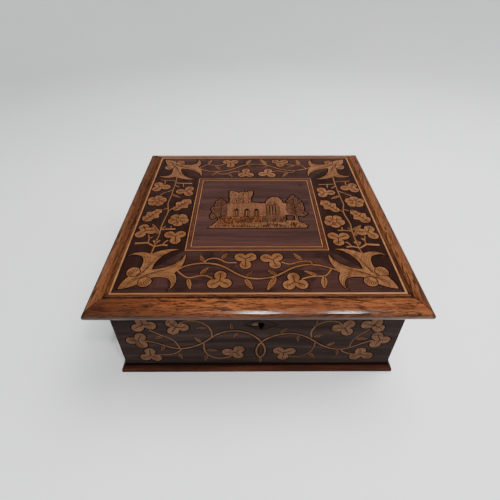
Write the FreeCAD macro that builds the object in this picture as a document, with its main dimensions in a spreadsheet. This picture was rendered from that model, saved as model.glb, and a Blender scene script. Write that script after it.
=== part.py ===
import FreeCAD, Part
import math
import os
import Sketcher

from FreeCAD import Placement, Rotation, Vector
from types import SimpleNamespace

# Driving sizes of the box, in millimetres
SIZES = {
    # Overall block: lid, case and base
    "total_height": 102.0,
    "lid_thick": 12.2,
    "lid_overhang": 14.0,
    "wall_thick": 9.0,
    "base_thick": 6.0,
    "veneer_thick": 1.0,
    # Thumbnail moulding round the lid
    "moulding_width": 18.0,
    "moulding_flat": 3.0,
    "moulding_quirk": 0.7,
    "crown_radius": 22.0,
    "nose_height": 7.4,
    "nose_back": 1.7,
    # Ovolo moulding round the base
    "plinth_height": 9.5,
    "plinth_proud": 4.5,
    "plinth_step": 0.8,
    "plinth_toe": 0.6,
    "plinth_belly": 2.4,
    # Layout of the lid: border, stringing and the frame round the centre panel
    "panel_drop": 0.2,
    "border_width": 52.6,
    "string_width": 2.2,
    "frame_side": 134.4,
    "frame_string": 1.5,
    "frame_band": 3.2,
    # Butt hinges
    "hinge_inset": 56.0,
    "hinge_length": 38.0,
    "leaf_thick": 1.2,
    "leaf_gap": 0.2,
    "leaf_margin": 1.0,
    "barrel_radius": 2.1,
    "barrel_gap": 0.3,
    "pin_radius": 0.9,
    "pin_clearance": 0.05,
    "knuckle_gap": 0.2,
    "groove_gap": 0.5,
    "recess_gap": 0.2,
    # Keyhole and its lozenge
    "key_offset": 3.0,
    "key_drop": 22.0,
    "key_radius": 2.6,
    "key_slot": 2.6,
    "key_slot_drop": 5.6,
    "key_pin_radius": 1.1,
    "lozenge_half_width": 14.5,
    "lozenge_half_height": 8.0,
    # Box lock, its sliding bolt and the strike with two hooks
    "lock_width": 50.0,
    "lock_height": 36.0,
    "lock_depth": 6.0,
    "lock_plate": 1.2,
    "selvedge_ear": 8.0,
    "selvedge_margin": 1.0,
    "selvedge_thick": 1.5,
    "strike_thick": 1.3,
    "strike_sink": 0.2,
    "hook_inset": 13.0,
    "hook_width": 6.0,
    "hook_thick": 2.0,
    "hook_length": 9.0,
    "hook_notch": 3.4,
    "hook_notch_height": 3.0,
    "hook_notch_drop": 3.5,
    "slot_gap": 0.6,
    "bolt_height": 6.0,
    "bolt_upright": 3.0,
    "bolt_tooth": 4.0,
    "bolt_tooth_gap": 0.8,
    "bolt_gap": 0.3,
}

doc = FreeCAD.newDocument("marquetry_box")
sheet = doc.addObject("Spreadsheet::Sheet", "Sizes")
for row, (alias, value) in enumerate(SIZES.items(), start=1):
    sheet.set(f"A{row}", alias)
    sheet.set(f"B{row}", str(value))
    sheet.setAlias(f"B{row}", alias)
doc.recompute()


class Size:
    """A length with its value in millimetres and the sheet expression behind it."""

    def __init__(self, value, text):
        self.value = value
        self.text = text

    def joined(self, sign, other, value):
        return Size(value, f"({self.text} {sign} {other.text})")

    def __add__(self, other):
        other = as_size(other)
        return self.joined("+", other, self.value + other.value)

    def __sub__(self, other):
        other = as_size(other)
        return self.joined("-", other, self.value - other.value)

    def __mul__(self, other):
        other = as_size(other)
        return self.joined("*", other, self.value * other.value)

    def __truediv__(self, other):
        other = as_size(other)
        return self.joined("/", other, self.value / other.value)

    def __radd__(self, other):
        return as_size(other) + self

    def __rsub__(self, other):
        return as_size(other) - self

    def __rmul__(self, other):
        return as_size(other) * self

    def __neg__(self):
        return as_size(0) - self


def as_size(number):
    return number if isinstance(number, Size) else Size(number, str(number))


S = SimpleNamespace(**{alias: Size(float(sheet.get(alias)), f"Sizes.{alias}") for alias in SIZES})

# Half sides and levels that follow from the driving sizes
frame_half = S.frame_side / 2
field_half = frame_half + S.border_width
panel_half = field_half + S.string_width
lid_half = panel_half + S.moulding_width
band_half = frame_half - S.frame_string
inner_string_half = band_half - S.frame_band
centre_half = inner_string_half - S.frame_string
case_half = lid_half - S.lid_overhang
board_half = case_half - S.veneer_thick
inner_half = board_half - S.wall_thick
plinth_half = case_half + S.plinth_proud
joint_level = S.total_height - S.lid_thick
veneer_level = S.total_height - S.panel_drop - S.veneer_thick

# Hinge line behind the case, level with the plane between the two leaves
hinge_y = case_half + S.barrel_gap + S.barrel_radius
hinge_z = joint_level - S.leaf_thick
hinge_offset = case_half - S.hinge_inset
leaf_span_y = (inner_half + S.leaf_margin, case_half)
hinge_sides = {"left": -1, "right": 1}

# Lock centre lines
key_x = S.key_offset
key_z = joint_level - S.key_drop
lock_y = -(inner_half + S.lock_depth / 2)
selvedge_half = S.lock_width / 2 + S.selvedge_ear
selvedge_span_y = (S.selvedge_margin - board_half, -inner_half)

pieces = []


def piece(feature, label):
    """Name a finished piece of the box."""
    feature.Label = label
    pieces.append(feature)
    return feature


def bind(feature, **sizes):
    for prop, size in sizes.items():
        feature.setExpression(prop, as_size(size).text)


def bind_base(feature, x, y, z):
    for axis, size in zip("xyz", (x, y, z)):
        feature.setExpression(f"Placement.Base.{axis}", as_size(size).text)


def around(centre, half):
    return (centre - half, centre + half)


def block(name, x_span, y_span, z_span):
    """Square-cornered block between two planes each way."""
    box = doc.addObject("Part::Box", name)
    bind(box, Length=x_span[1] - x_span[0], Width=y_span[1] - y_span[0], Height=z_span[1] - z_span[0])
    bind_base(box, x_span[0], y_span[0], z_span[0])
    return box


# Turn that lays a round bar along X or Y
bar_turns = {"x": Rotation(Vector(0, 1, 0), 90), "y": Rotation(Vector(1, 0, 0), -90)}


def rod(name, axis, radius, start, length):
    bar = doc.addObject("Part::Cylinder", name)
    bar.Placement = Placement(Vector(), bar_turns[axis])
    bind(bar, Radius=radius, Height=length)
    bind_base(bar, *start)
    return bar


def fused(name, parts):
    union = doc.addObject("Part::MultiFuse", name)
    union.Shapes = parts
    return union


def cut_by(name, base, tools):
    cut = doc.addObject("Part::Cut", name)
    cut.Base = base
    cut.Tool = tools[0] if len(tools) == 1 else fused(f"{name}_tools", tools)
    return cut


# Turn of each side about Z: a side is drawn at the back, facing +Y
side_turns = {"back": 0, "left": 90, "front": 180, "right": 270}


def turned(feature, side):
    feature.Placement = Placement(Vector(), Rotation(Vector(0, 0, 1), side_turns[side]))
    return feature


def mitred_board(name, side, outer, inner, z_span):
    """Board with 45 degree ends, from its inner face to its outer face."""
    wedge = doc.addObject("Part::Wedge", name)
    bind(wedge, Xmin=-inner, Xmax=inner, X2min=-outer, X2max=outer, Ymin=inner, Ymax=outer)
    bind(wedge, Zmin=z_span[0], Zmax=z_span[1], Z2min=z_span[0], Z2max=z_span[1])
    return turned(wedge, side)


def plane_of(body, role):
    return next(plane for plane in body.Origin.OriginFeatures if plane.Role == role)


def left_turn_arc(start, end, radius):
    """Arc of the given radius that turns left from start to end."""
    chord = end - start
    rise = math.sqrt(radius ** 2 - (chord.Length / 2) ** 2)
    centre = (start + end) / 2 + Vector(-chord.y, chord.x, 0).normalize() * rise
    angles = [math.atan2(spot.y - centre.y, spot.x - centre.x) for spot in (start, end)]
    return Part.ArcOfCircle(Part.Circle(centre, Vector(0, 0, 1), radius), *angles)


def outline_sketch(body, name, role, corners):
    """Closed outline in an origin plane; a corner is (x, y, radius of the edge after it or None)."""
    sketch = body.newObject("Sketcher::SketchObject", name)
    sketch.AttachmentSupport = (plane_of(body, role), [""])
    sketch.MapMode = "FlatFace"
    spots = [Vector(x.value, y.value, 0) for x, y, radius in corners]
    following = spots[1:] + spots[:1]
    for start, end, (x, y, radius) in zip(spots, following, corners):
        straight = radius is None
        run = Part.LineSegment(start, end) if straight else left_turn_arc(start, end, radius.value)
        sketch.addGeometry(run)
    for index, (x, y, radius) in enumerate(corners):
        after = (index + 1) % len(corners)
        sketch.addConstraint(Sketcher.Constraint("Coincident", index, 2, after, 1))
        fixed = [("DistanceX", (-1, 1, index, 1), x), ("DistanceY", (-1, 1, index, 1), y)]
        if radius is not None:
            fixed.append(("Radius", (index,), radius))
        for kind, where, size in fixed:
            number = sketch.addConstraint(Sketcher.Constraint(kind, *where, size.value))
            sketch.setExpression(f"Constraints[{number}]", size.text)
    return sketch


def mitred_moulding(name, side, profile, inner, outer):
    """Length of moulding run through at its profile, with both ends mitred."""
    body = doc.addObject("PartDesign::Body", name)
    run = body.newObject("PartDesign::Pad", f"{name}_run")
    run.Profile = outline_sketch(body, f"{name}_profile", "YZ_Plane", profile)
    run.SideType = "Symmetric"
    bind(run, Length=outer * 2)
    mitre = body.newObject("PartDesign::Pocket", f"{name}_mitre")
    corner = [(inner, inner, None), (outer, inner, None), (outer, outer, None)]
    mitre.Profile = outline_sketch(body, f"{name}_corner", "XY_Plane", corner)
    mitre.Type = "ThroughAll"
    mitre.Reversed = True
    other_end = body.newObject("PartDesign::Mirrored", f"{name}_other_mitre")
    other_end.Originals = [mitre]
    other_end.MirrorPlane = (plane_of(body, "YZ_Plane"), [""])
    body.Tip = other_end
    return turned(body, side)


# Keyhole: a round eye over a straight slot, driven in from the front
def keyhole_form(name, depth):
    start_y = -(case_half + S.veneer_thick)
    eye = rod(f"{name}_eye", "y", S.key_radius, (key_x, start_y, key_z), depth)
    slot_z = (key_z - S.key_slot_drop, key_z)
    slot = block(f"{name}_slot", around(key_x, S.key_slot / 2), (start_y, start_y + depth), slot_z)
    return fused(name, [eye, slot])


keyhole_depth = S.veneer_thick * 2 + S.wall_thick - S.lock_plate
keyhole = keyhole_form("keyhole", keyhole_depth)

# Carcase: four mitred boards standing on the base board
wall_span = (S.base_thick, joint_level)
lock_span_x = around(key_x, S.lock_width / 2)
lock_span_y = (-(inner_half + S.lock_depth), -inner_half)
lock_span_z = (joint_level - S.lock_height, joint_level - S.selvedge_thick)
selvedge_span_x = around(key_x, selvedge_half)
selvedge_span_z = (joint_level - S.selvedge_thick, joint_level)
mortise = block(
    "lock_mortise",
    around(key_x, S.lock_width / 2 + S.recess_gap),
    (lock_span_y[0], lock_span_y[1] + S.recess_gap),
    (lock_span_z[0] - S.recess_gap, joint_level),
)
selvedge_recess = block(
    "selvedge_recess",
    around(key_x, selvedge_half + S.recess_gap),
    (selvedge_span_y[0] - S.recess_gap, selvedge_span_y[1] + S.recess_gap),
    (selvedge_span_z[0], joint_level + S.recess_gap),
)
leaf_recesses = [
    block(
        f"leaf_recess_{side}",
        around(way * hinge_offset, S.hinge_length / 2 + S.recess_gap),
        (leaf_span_y[0] - S.recess_gap, case_half + S.veneer_thick),
        (hinge_z - S.leaf_thick, joint_level + S.veneer_thick),
    )
    for side, way in hinge_sides.items()
]
blanks = {
    side: mitred_board(f"{side}_board_blank", side, board_half, inner_half, wall_span)
    for side in side_turns
}
piece(cut_by("front_board", blanks["front"], [keyhole, mortise, selvedge_recess]), "front_board")
piece(cut_by("back_board", blanks["back"], leaf_recesses), "back_board")
piece(blanks["left"], "left_board")
piece(blanks["right"], "right_board")
base_span = around(as_size(0), board_half)
piece(block("base", base_span, base_span, (as_size(0), S.base_thick)), "base_board")



def upright_radius(run, rise):
    """Radius of an arc that stands upright at one end and leans in by the run over the rise."""
    return (run * run + rise * rise) / (2 * run)


# Ovolo plinth round the foot of the case
toe_radius = upright_radius(S.plinth_toe, S.plinth_belly)
ovolo_radius = upright_radius(S.plinth_proud - S.plinth_step, S.plinth_height - S.plinth_belly)
plinth_profile = [
    (board_half, as_size(0), None),
    (plinth_half - S.plinth_toe, as_size(0), toe_radius),
    (plinth_half, S.plinth_belly, ovolo_radius),
    (case_half + S.plinth_step, S.plinth_height, None),
    (board_half, S.plinth_height, None),
]
for side in side_turns:
    run = mitred_moulding(f"plinth_{side}_run", side, plinth_profile, board_half, plinth_half)
    piece(run, f"plinth_{side}")

# Thumbnail moulding round the lid: flat, quirk, crown and rounded nose
nose_x = lid_half - S.nose_back
nose_radius = upright_radius(S.nose_back, S.nose_height / 2)
lid_profile = [
    (panel_half, joint_level, None),
    (nose_x, joint_level, nose_radius),
    (nose_x, joint_level + S.nose_height, S.crown_radius),
    (panel_half + S.moulding_flat, S.total_height - S.moulding_quirk, None),
    (panel_half + S.moulding_flat, S.total_height, None),
    (panel_half, S.total_height, None),
]
lid_runs = {
    side: mitred_moulding(f"lid_{side}_run", side, lid_profile, panel_half, lid_half)
    for side in side_turns
}
barrel_grooves = [
    block(
        f"barrel_groove_{side}",
        around(way * hinge_offset, S.hinge_length / 2 + S.recess_gap),
        (case_half, hinge_y + S.barrel_radius + S.groove_gap),
        (joint_level - S.groove_gap, hinge_z + S.barrel_radius + S.groove_gap),
    )
    for side, way in hinge_sides.items()
]
strike_span_z = (joint_level + S.strike_sink, joint_level + S.strike_sink + S.strike_thick)
strike_recess = block(
    "strike_recess",
    around(key_x, selvedge_half + S.recess_gap),
    (selvedge_span_y[0] - S.recess_gap, selvedge_span_y[1] + S.recess_gap),
    (joint_level - S.recess_gap, strike_span_z[1]),
)
piece(cut_by("lid_front", lid_runs["front"], [strike_recess]), "lid_moulding_front")
piece(cut_by("lid_back", lid_runs["back"], barrel_grooves), "lid_moulding_back")
piece(lid_runs["left"], "lid_moulding_left")
piece(lid_runs["right"], "lid_moulding_right")
lid_span = around(as_size(0), panel_half)
lid_blank = block("lid_blank", lid_span, lid_span, (joint_level, veneer_level))
piece(cut_by("lid_core", lid_blank, [strike_recess]), "lid_board")

# Butt hinges: a case leaf with two knuckles, a lid leaf with one, and the pin
knuckle_third = S.hinge_length / 6
case_knuckles = [
    (-S.hinge_length / 2, -knuckle_third - S.knuckle_gap / 2),
    (knuckle_third + S.knuckle_gap / 2, S.hinge_length / 2),
]
lid_knuckles = [(-knuckle_third + S.knuckle_gap / 2, knuckle_third - S.knuckle_gap / 2)]


def hinge_leaf(name, centre, z_span, knuckles):
    parts = [block(f"{name}_plate", around(centre, S.hinge_length / 2), leaf_span_y, z_span)]
    for index, (start, end) in enumerate(knuckles):
        span = (centre + start, centre + end)
        parts.append(block(f"{name}_neck_{index}", span, (case_half, hinge_y), z_span))
        where = (span[0], hinge_y, hinge_z)
        parts.append(rod(f"{name}_knuckle_{index}", "x", S.barrel_radius, where, end - start))
    start = (centre - S.hinge_length / 2, hinge_y, hinge_z)
    bore = rod(f"{name}_bore", "x", S.pin_radius + S.pin_clearance, start, S.hinge_length)
    return cut_by(name, fused(f"{name}_blank", parts), [bore])


for side, way in hinge_sides.items():
    centre = way * hinge_offset
    case_leaf_z = (hinge_z - S.leaf_thick, hinge_z - S.leaf_gap / 2)
    lid_leaf_z = (hinge_z + S.leaf_gap / 2, joint_level)
    case_leaf = hinge_leaf(f"{side}_case_leaf", centre, case_leaf_z, case_knuckles)
    lid_leaf = hinge_leaf(f"{side}_lid_leaf", centre, lid_leaf_z, lid_knuckles)
    pin_start = (centre - S.hinge_length / 2, hinge_y, hinge_z)
    pin = rod(f"{side}_pin", "x", S.pin_radius, pin_start, S.hinge_length)
    piece(case_leaf, f"hinge_{side}_case_leaf")
    piece(lid_leaf, f"hinge_{side}_lid_leaf")
    piece(pin, f"hinge_{side}_pin")

# Box lock: hollow case under a selvedge with two hook slots, and a drill pin
hook_centres = [key_x + end * (S.lock_width / 2 - S.hook_inset) for end in (-1, 1)]
cavity_span_y = (lock_span_y[0] + S.lock_plate, lock_span_y[1] - S.lock_plate)
lock_shell = [
    block("lock_shell", lock_span_x, lock_span_y, lock_span_z),
    block("lock_selvedge", selvedge_span_x, selvedge_span_y, selvedge_span_z),
]
lock_cavity = block(
    "lock_cavity",
    around(key_x, S.lock_width / 2 - S.lock_plate),
    cavity_span_y,
    (lock_span_z[0] + S.lock_plate, lock_span_z[1]),
)
hook_slots = [
    block(
        f"hook_slot_{index}",
        around(centre, S.hook_width / 2 + S.slot_gap),
        around(lock_y, S.hook_thick / 2 + S.slot_gap),
        (joint_level - S.selvedge_thick - S.slot_gap, joint_level + S.slot_gap),
    )
    for index, centre in enumerate(hook_centres)
]
lock_body = cut_by("lock_body", fused("lock_blank", lock_shell), [lock_cavity, keyhole] + hook_slots)
drill_pin = rod(
    "drill_pin",
    "y",
    S.key_pin_radius,
    (key_x, lock_span_y[0], key_z),
    S.lock_depth - S.lock_plate / 2,
)
piece(fused("lock_with_pin", [lock_body, drill_pin]), "lock_case")

# Sliding bolt: a bar below the hooks with an upright and a tooth beside each hook
bolt_span_y = (cavity_span_y[0] + S.bolt_gap, cavity_span_y[1] - S.bolt_gap)
bar_top = joint_level - S.hook_length - S.slot_gap
tooth_span_z = (
    joint_level - S.hook_notch_drop - S.hook_notch_height + S.bolt_gap,
    joint_level - S.hook_notch_drop - S.bolt_gap,
)
tooth_tips = [centre - S.hook_width / 2 - S.bolt_tooth_gap for centre in hook_centres]
upright_starts = [tip - S.bolt_tooth - S.bolt_upright for tip in tooth_tips]
bar_span_x = (upright_starts[0], tooth_tips[1])
bolt_parts = [block("bolt_bar", bar_span_x, bolt_span_y, (bar_top - S.bolt_height, bar_top))]
for index, (start, tip) in enumerate(zip(upright_starts, tooth_tips)):
    upright_span_x = (start, start + S.bolt_upright)
    upright_span_z = (bar_top - S.bolt_height, tooth_span_z[1])
    bolt_parts.append(block(f"bolt_upright_{index}", upright_span_x, bolt_span_y, upright_span_z))
    bolt_parts.append(block(f"bolt_tooth_{index}", (start, tip), bolt_span_y, tooth_span_z))
piece(fused("bolt", bolt_parts), "lock_bolt")

# Strike let into the underside of the lid, with two notched hooks
strike_parts = [block("strike_plate", selvedge_span_x, selvedge_span_y, strike_span_z)]
hook_notches = []
for index, centre in enumerate(hook_centres):
    hook_span_x = around(centre, S.hook_width / 2)
    hook_span_y = around(lock_y, S.hook_thick / 2)
    hook_span_z = (joint_level - S.hook_length, strike_span_z[0])
    strike_parts.append(block(f"hook_{index}", hook_span_x, hook_span_y, hook_span_z))
    notch_top = joint_level - S.hook_notch_drop
    notch_span_x = (hook_span_x[0] - S.slot_gap, hook_span_x[0] + S.hook_notch)
    notch_span_y = around(lock_y, S.hook_thick)
    notch_span_z = (notch_top - S.hook_notch_height, notch_top)
    hook_notches.append(block(f"hook_notch_{index}", notch_span_x, notch_span_y, notch_span_z))
piece(cut_by("strike", fused("strike_blank", strike_parts), hook_notches), "lock_strike")

# Plain veneers of the back and the two ends
veneer_span_z = (S.plinth_height, joint_level)
back_sheet = block("back_sheet", around(as_size(0), case_half), (board_half, case_half), veneer_span_z)
piece(cut_by("back_skin", back_sheet, leaf_recesses), "back_veneer")
end_span_y = around(as_size(0), board_half)
piece(block("left_skin", (-case_half, -board_half), end_span_y, veneer_span_z), "left_veneer")
piece(block("right_skin", (board_half, case_half), end_span_y, veneer_span_z), "right_veneer")

# Marquetry: outlines drawn flat in millimetres and stretched to the field they are let into
DRAWN_FRAME = 67.2
DRAWN_FIELD = 119.8
DRAWN_CASE = 126.0
DRAWN_PLINTH = 9.5
DRAWN_JOINT = 89.8


def lid_place(x, y):
    """Point of the lid drawing, stretched to the frame inside it and the border outside it."""
    frame = frame_half.value
    border = (field_half.value - frame) / (DRAWN_FIELD - DRAWN_FRAME)

    def stretched(length):
        inner = min(abs(length), DRAWN_FRAME)
        outer = abs(length) - inner
        return math.copysign(inner * frame / DRAWN_FRAME + outer * border, length)

    return Vector(stretched(x), stretched(y), 0)


def front_place(x, z):
    """Point of the front drawing, stretched to the veneer above the plinth."""
    rise = (joint_level.value - S.plinth_height.value) / (DRAWN_JOINT - DRAWN_PLINTH)
    return Vector(x * case_half.value / DRAWN_CASE, S.plinth_height.value + (z - DRAWN_PLINTH) * rise, 0)


def polygon(points):
    return Part.Face(Part.makePolygon(points + points[:1]))


def joined_face(faces):
    return faces[0].fuse(faces[1:]).removeSplitter().Faces[0]


def polar(x, y, radius, degrees):
    angle = math.radians(degrees)
    return (x + radius * math.cos(angle), y + radius * math.sin(angle))


# Shamrock: three round lobes, each tapering to a stem behind the centre
LOBE_REACH = 6.2
LOBE_RADIUS = 5.3
LOBE_SWEEP = 115
LOBE_CUTS = 6
LOBE_HEEL = 1.6


def shamrock(place, x, y, directions):
    lobes = []
    for direction in directions:
        middle = polar(x, y, LOBE_REACH, direction)
        turns = [direction + LOBE_SWEEP * (2 * cut / LOBE_CUTS - 1) for cut in range(LOBE_CUTS + 1)]
        rim = [polar(*middle, LOBE_RADIUS, turn) for turn in turns]
        heel = polar(x, y, -LOBE_HEEL, direction)
        lobes.append(polygon([place(*spot) for spot in rim + [heel]]))
    return joined_face(lobes)


# Rose: five shallow petals round the rim
ROSE_RADIUS = 10.9
ROSE_DIP = 0.2
ROSE_PETALS = 5
ROSE_CUTS = 5


def rose(place, x, y, turn):
    count = ROSE_PETALS * ROSE_CUTS
    rim = []
    for cut in range(count):
        share = cut / count
        swell = abs(math.sin(math.pi * ROSE_PETALS * share)) ** 0.6
        rim.append(polar(x, y, ROSE_RADIUS * (1 - ROSE_DIP + ROSE_DIP * swell), turn + 360 * share))
    return polygon([place(*spot) for spot in rim])


# Oak leaf: a long leaf whose edge waves in and out round three lobes a side
OAK_LENGTH = 28.5
OAK_HALF_WIDTH = 7.2
OAK_WAVES = 3.0
OAK_WAVE_DEPTH = 0.24
OAK_CUTS = 14


def oak_leaf(place, x, y, direction):
    axis = polar(0, 0, 1, direction)
    edge = []
    for side in (1, -1):
        stations = range(OAK_CUTS + 1) if side > 0 else range(OAK_CUTS - 1, 0, -1)
        for station in stations:
            share = station / OAK_CUTS
            wave = 1 + OAK_WAVE_DEPTH * math.cos(2 * math.pi * OAK_WAVES * (share - 0.82))
            across = side * OAK_HALF_WIDTH * math.sin(math.pi * share ** 1.15) ** 0.75 * wave
            along = OAK_LENGTH * (share - 0.5)
            edge.append((x + along * axis[0] - across * axis[1], y + along * axis[1] + across * axis[0]))
    return polygon([place(*spot) for spot in edge])


# Corner frond: half its outline, from the tail at the corner to the crotch between the arms
FROND_TAIL = (116.0, 116.0)
FROND_ARCS = (
    ((114.0, 107.5), (110.5, 101.0)),
    ((112.6, 92.6), (102.8, 91.4)),
    ((101.8, 84.0), (103.5, 76.5)),
    ((109.8, 72.8), (118.0, 75.0)),
    ((108.4, 69.2), (97.0, 71.8)),
    ((85.6, 65.9), (72.0, 65.2)),
    ((86.8, 75.5), (92.2, 92.2)),
)
FROND_FACET = 25


def frond(place, x_way, y_way):
    """Both arms of a corner frond, one the mirror of the other across the diagonal."""

    def spot(point, swapped):
        across, along = reversed(point) if swapped else point
        return place(x_way * across, y_way * along)

    halves = []
    for swapped in (False, True):
        start = FROND_TAIL
        edge = [spot(start, swapped)]
        for middle, end in FROND_ARCS:
            arc = Part.Arc(spot(start, swapped), spot(middle, swapped), spot(end, swapped)).toShape()
            cuts = max(2, round(math.degrees(arc.Length / arc.Curve.Radius) / FROND_FACET))
            edge.extend(arc.discretize(cuts + 1)[1:])
            start = end
        halves.append(edge)
    return polygon(halves[0] + halves[1][-2:0:-1])


# Vine: a ribbon of even width along a smooth line through its points
VINE_WIDTH = 2.0


def vine(place, points, cuts):
    line = Part.BSplineCurve()
    line.interpolate([Vector(x, y, 0) for x, y in points])
    first = line.FirstParameter
    step = (line.LastParameter - first) / cuts
    sides = ([], [])
    for cut in range(cuts + 1):
        spot = line.value(first + cut * step)
        heading = Vector(*line.tangent(first + cut * step)[0])
        for side, way in zip(sides, (1, -1)):
            shift = Vector(-heading.y, heading.x, 0) * (way * VINE_WIDTH / 2)
            side.append(place(spot.x + shift.x, spot.y + shift.y))
    return polygon(sides[0] + sides[1][::-1])


# Places on the side borders, read on the left; the right one sits a little nearer the front
RIGHT_SHIFT = -3.0
SIDE_SHAMROCKS = (
    (-110.0, -37.0, (112, 5, -125)),
    (-79.3, -45.8, (152, 35, -78)),
    (-79.5, 38.0, (185, 54, -54)),
    (-110.0, 48.0, (125, -5, -128)),
)
SIDE_ROSES = ((-79.8, -18.2, 20), (-108.7, 18.0, 50))
SIDE_OAK_LEAVES = ((-108.0, -9.5, -124), (-80.0, 9.5, 54))

# Places on the front and back borders
BORDER_SHAMROCKS = (
    (-10.5, -80.5, (140, 42, -90)),
    (13.4, -80.6, (152, 43, -68)),
    (-32.5, -106.0, (85, -32, -142)),
    (31.2, -108.3, (96, -149, -24)),
    (-11.0, 80.2, (90, -42, -140)),
    (15.5, 79.4, (80, -40, -168)),
    (-31.0, 106.5, (145, 34, -86)),
    (32.8, 107.8, (152, 27, -92)),
)
BORDER_VINE_LEFT = (
    (-72.5, -96.0),
    (-60.0, -86.6),
    (-47.0, -84.4),
    (-33.0, -87.2),
    (-20.0, -96.4),
    (-10.0, -102.4),
    (0.0, -104.0),
)
BORDER_VINE_RIGHT = (
    (8.1, -103.2),
    (17.5, -99.8),
    (28.0, -92.4),
    (37.5, -88.1),
    (46.2, -86.6),
    (57.0, -88.2),
    (73.0, -97.0),
)
BORDER_VINE_CUTS = 20

# Vignette: a ruined abbey between two trees on a strip of ground
VIGNETTE = (
    (-48.0, -32.2), (50.0, -32.2), (52.0, -28.5), (43.5, -21.0), (43.0, -12.5), (46.0, -10.0),
    (50.0, -12.0), (54.0, -8.0), (50.5, -2.5), (52.0, 4.0), (49.5, 17.0), (44.5, 24.0),
    (41.5, 30.0), (37.0, 22.0), (33.5, 12.5), (30.0, 12.5), (28.5, 19.0), (25.5, 23.8),
    (21.0, 25.8), (16.0, 23.8), (12.5, 19.5), (10.5, 12.6), (-4.8, 14.8), (-5.0, 24.0),
    (-2.8, 30.0), (-2.8, 37.5), (-8.0, 37.5), (-8.0, 35.2), (-13.0, 35.2), (-13.0, 37.5),
    (-19.0, 34.0), (-24.0, 37.8), (-29.5, 37.8), (-28.5, 13.0), (-31.5, 11.5), (-38.0, 22.5),
    (-43.5, 13.0), (-44.5, 6.0), (-48.0, 1.5), (-45.5, -4.0), (-48.0, -11.0), (-46.0, -16.5),
    (-40.0, -12.5), (-38.5, -19.0),
)
VIGNETTE_GAP = ((31.0, -19.5), (40.5, -19.5), (40.5, -11.0), (31.0, -9.5))


def vignette(place):
    outline = polygon([place(*spot) for spot in VIGNETTE])
    return outline.cut(polygon([place(*spot) for spot in VIGNETTE_GAP])).Faces[0]


# Places on the front, read on both halves
FRONT_SHAMROCKS = (
    (-99.0, 66.5, (98, 205, 6)),
    (-71.0, 65.0, (125, 240, -4)),
    (-107.0, 45.5, (178, 66, -72)),
    (-100.0, 22.5, (88, 208, -38)),
    (-21.5, 27.5, (180, 42, -54)),
    (25.0, 26.0, (145, 25, -95)),
    (76.0, 63.0, (180, 60, -62)),
    (100.0, 65.0, (156, 68, -22)),
    (108.5, 45.5, (2, 104, -98)),
    (98.0, 22.5, (-12, 205, 105)),
)
FRONT_VINE_LEFT = (
    (3.0, 18.0),
    (7.4, 29.0),
    (3.5, 43.0),
    (-6.0, 54.5),
    (-20.0, 59.5),
    (-35.0, 55.0),
    (-47.0, 44.0),
    (-58.0, 36.5),
    (-74.0, 33.5),
    (-90.0, 41.0),
    (-103.0, 45.2),
)
FRONT_VINE_RIGHT = (
    (3.0, 18.0),
    (-0.8, 29.0),
    (3.5, 42.5),
    (13.0, 51.0),
    (27.0, 55.5),
    (42.0, 51.6),
    (56.0, 40.2),
    (68.0, 33.0),
    (79.0, 32.0),
    (92.0, 38.2),
    (104.5, 45.0),
)
FRONT_VINE_CUTS = 22


def mirrored_left(directions):
    return tuple(180 - direction for direction in directions)


lid_shamrocks = []
for x, y, directions in SIDE_SHAMROCKS:
    lid_shamrocks.append(shamrock(lid_place, x, y, directions))
    lid_shamrocks.append(shamrock(lid_place, -x, y + RIGHT_SHIFT, mirrored_left(directions)))
lid_shamrocks.extend(shamrock(lid_place, *spot) for spot in BORDER_SHAMROCKS)
lid_roses = []
for x, y, turn in SIDE_ROSES:
    lid_roses.append(rose(lid_place, x, y, turn))
    lid_roses.append(rose(lid_place, -x, y + RIGHT_SHIFT, turn))
lid_oak_leaves = []
for x, y, direction in SIDE_OAK_LEAVES:
    lid_oak_leaves.append(oak_leaf(lid_place, x, y, direction))
    lid_oak_leaves.append(oak_leaf(lid_place, -x, y + RIGHT_SHIFT, 180 - direction))
lid_fronds = [frond(lid_place, x_way, y_way) for x_way in (-1, 1) for y_way in (-1, 1)]
border_line = BORDER_VINE_LEFT + BORDER_VINE_RIGHT
border_lines = [[(x, way * y) for x, y in border_line] for way in (1, -1)]
border_vines = [vine(lid_place, line, BORDER_VINE_CUTS) for line in border_lines]
lid_vines = [ribbon.cut(lid_fronds).Faces[0] for ribbon in border_vines]
border_inlays = lid_shamrocks + lid_roses + lid_oak_leaves + lid_fronds + lid_vines
abbey = vignette(lid_place)
front_shamrocks = [shamrock(front_place, *spot) for spot in FRONT_SHAMROCKS]
front_lines = (FRONT_VINE_LEFT, FRONT_VINE_RIGHT)
front_strands = [vine(front_place, line, FRONT_VINE_CUTS) for line in front_lines]
front_vines = joined_face(front_strands).cut(front_shamrocks).Faces


def trapezoid(side, outer, inner):
    """One mitred side of a square border."""
    corners = [(-outer, outer), (outer, outer), (inner, inner), (-inner, inner)]
    turn = Rotation(Vector(0, 0, 1), side_turns[side])
    return polygon([turn.multVec(Vector(x.value, y.value, 0)) for x, y in corners])


def square(half):
    size = half.value
    return polygon([Vector(x * size, y * size, 0) for x, y in ((-1, -1), (1, -1), (1, 1), (-1, 1))])


lid_seat = Placement(Vector(0, 0, veneer_level.value), Rotation())
front_seat = Placement(Vector(0, -board_half.value, 0), Rotation(Vector(1, 0, 0), 90))


def sheet_piece(label, faces, seat):
    """Veneer-thick piece or group of pieces let in at a seat."""
    thick = Vector(0, 0, S.veneer_thick.value)
    solids = [face.extrude(thick) for face in faces]
    feature = doc.addObject("Part::Feature", f"{label}_sheet")
    feature.Shape = solids[0] if len(solids) == 1 else Part.makeCompound(solids)
    feature.Placement = seat
    return piece(feature, label)


def windowed(face, inlays):
    """Ground veneer with a window for every inlay that reaches it."""
    near = [inlay for inlay in inlays if inlay.BoundBox.intersect(face.BoundBox)]
    return face.cut(near).Faces


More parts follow.
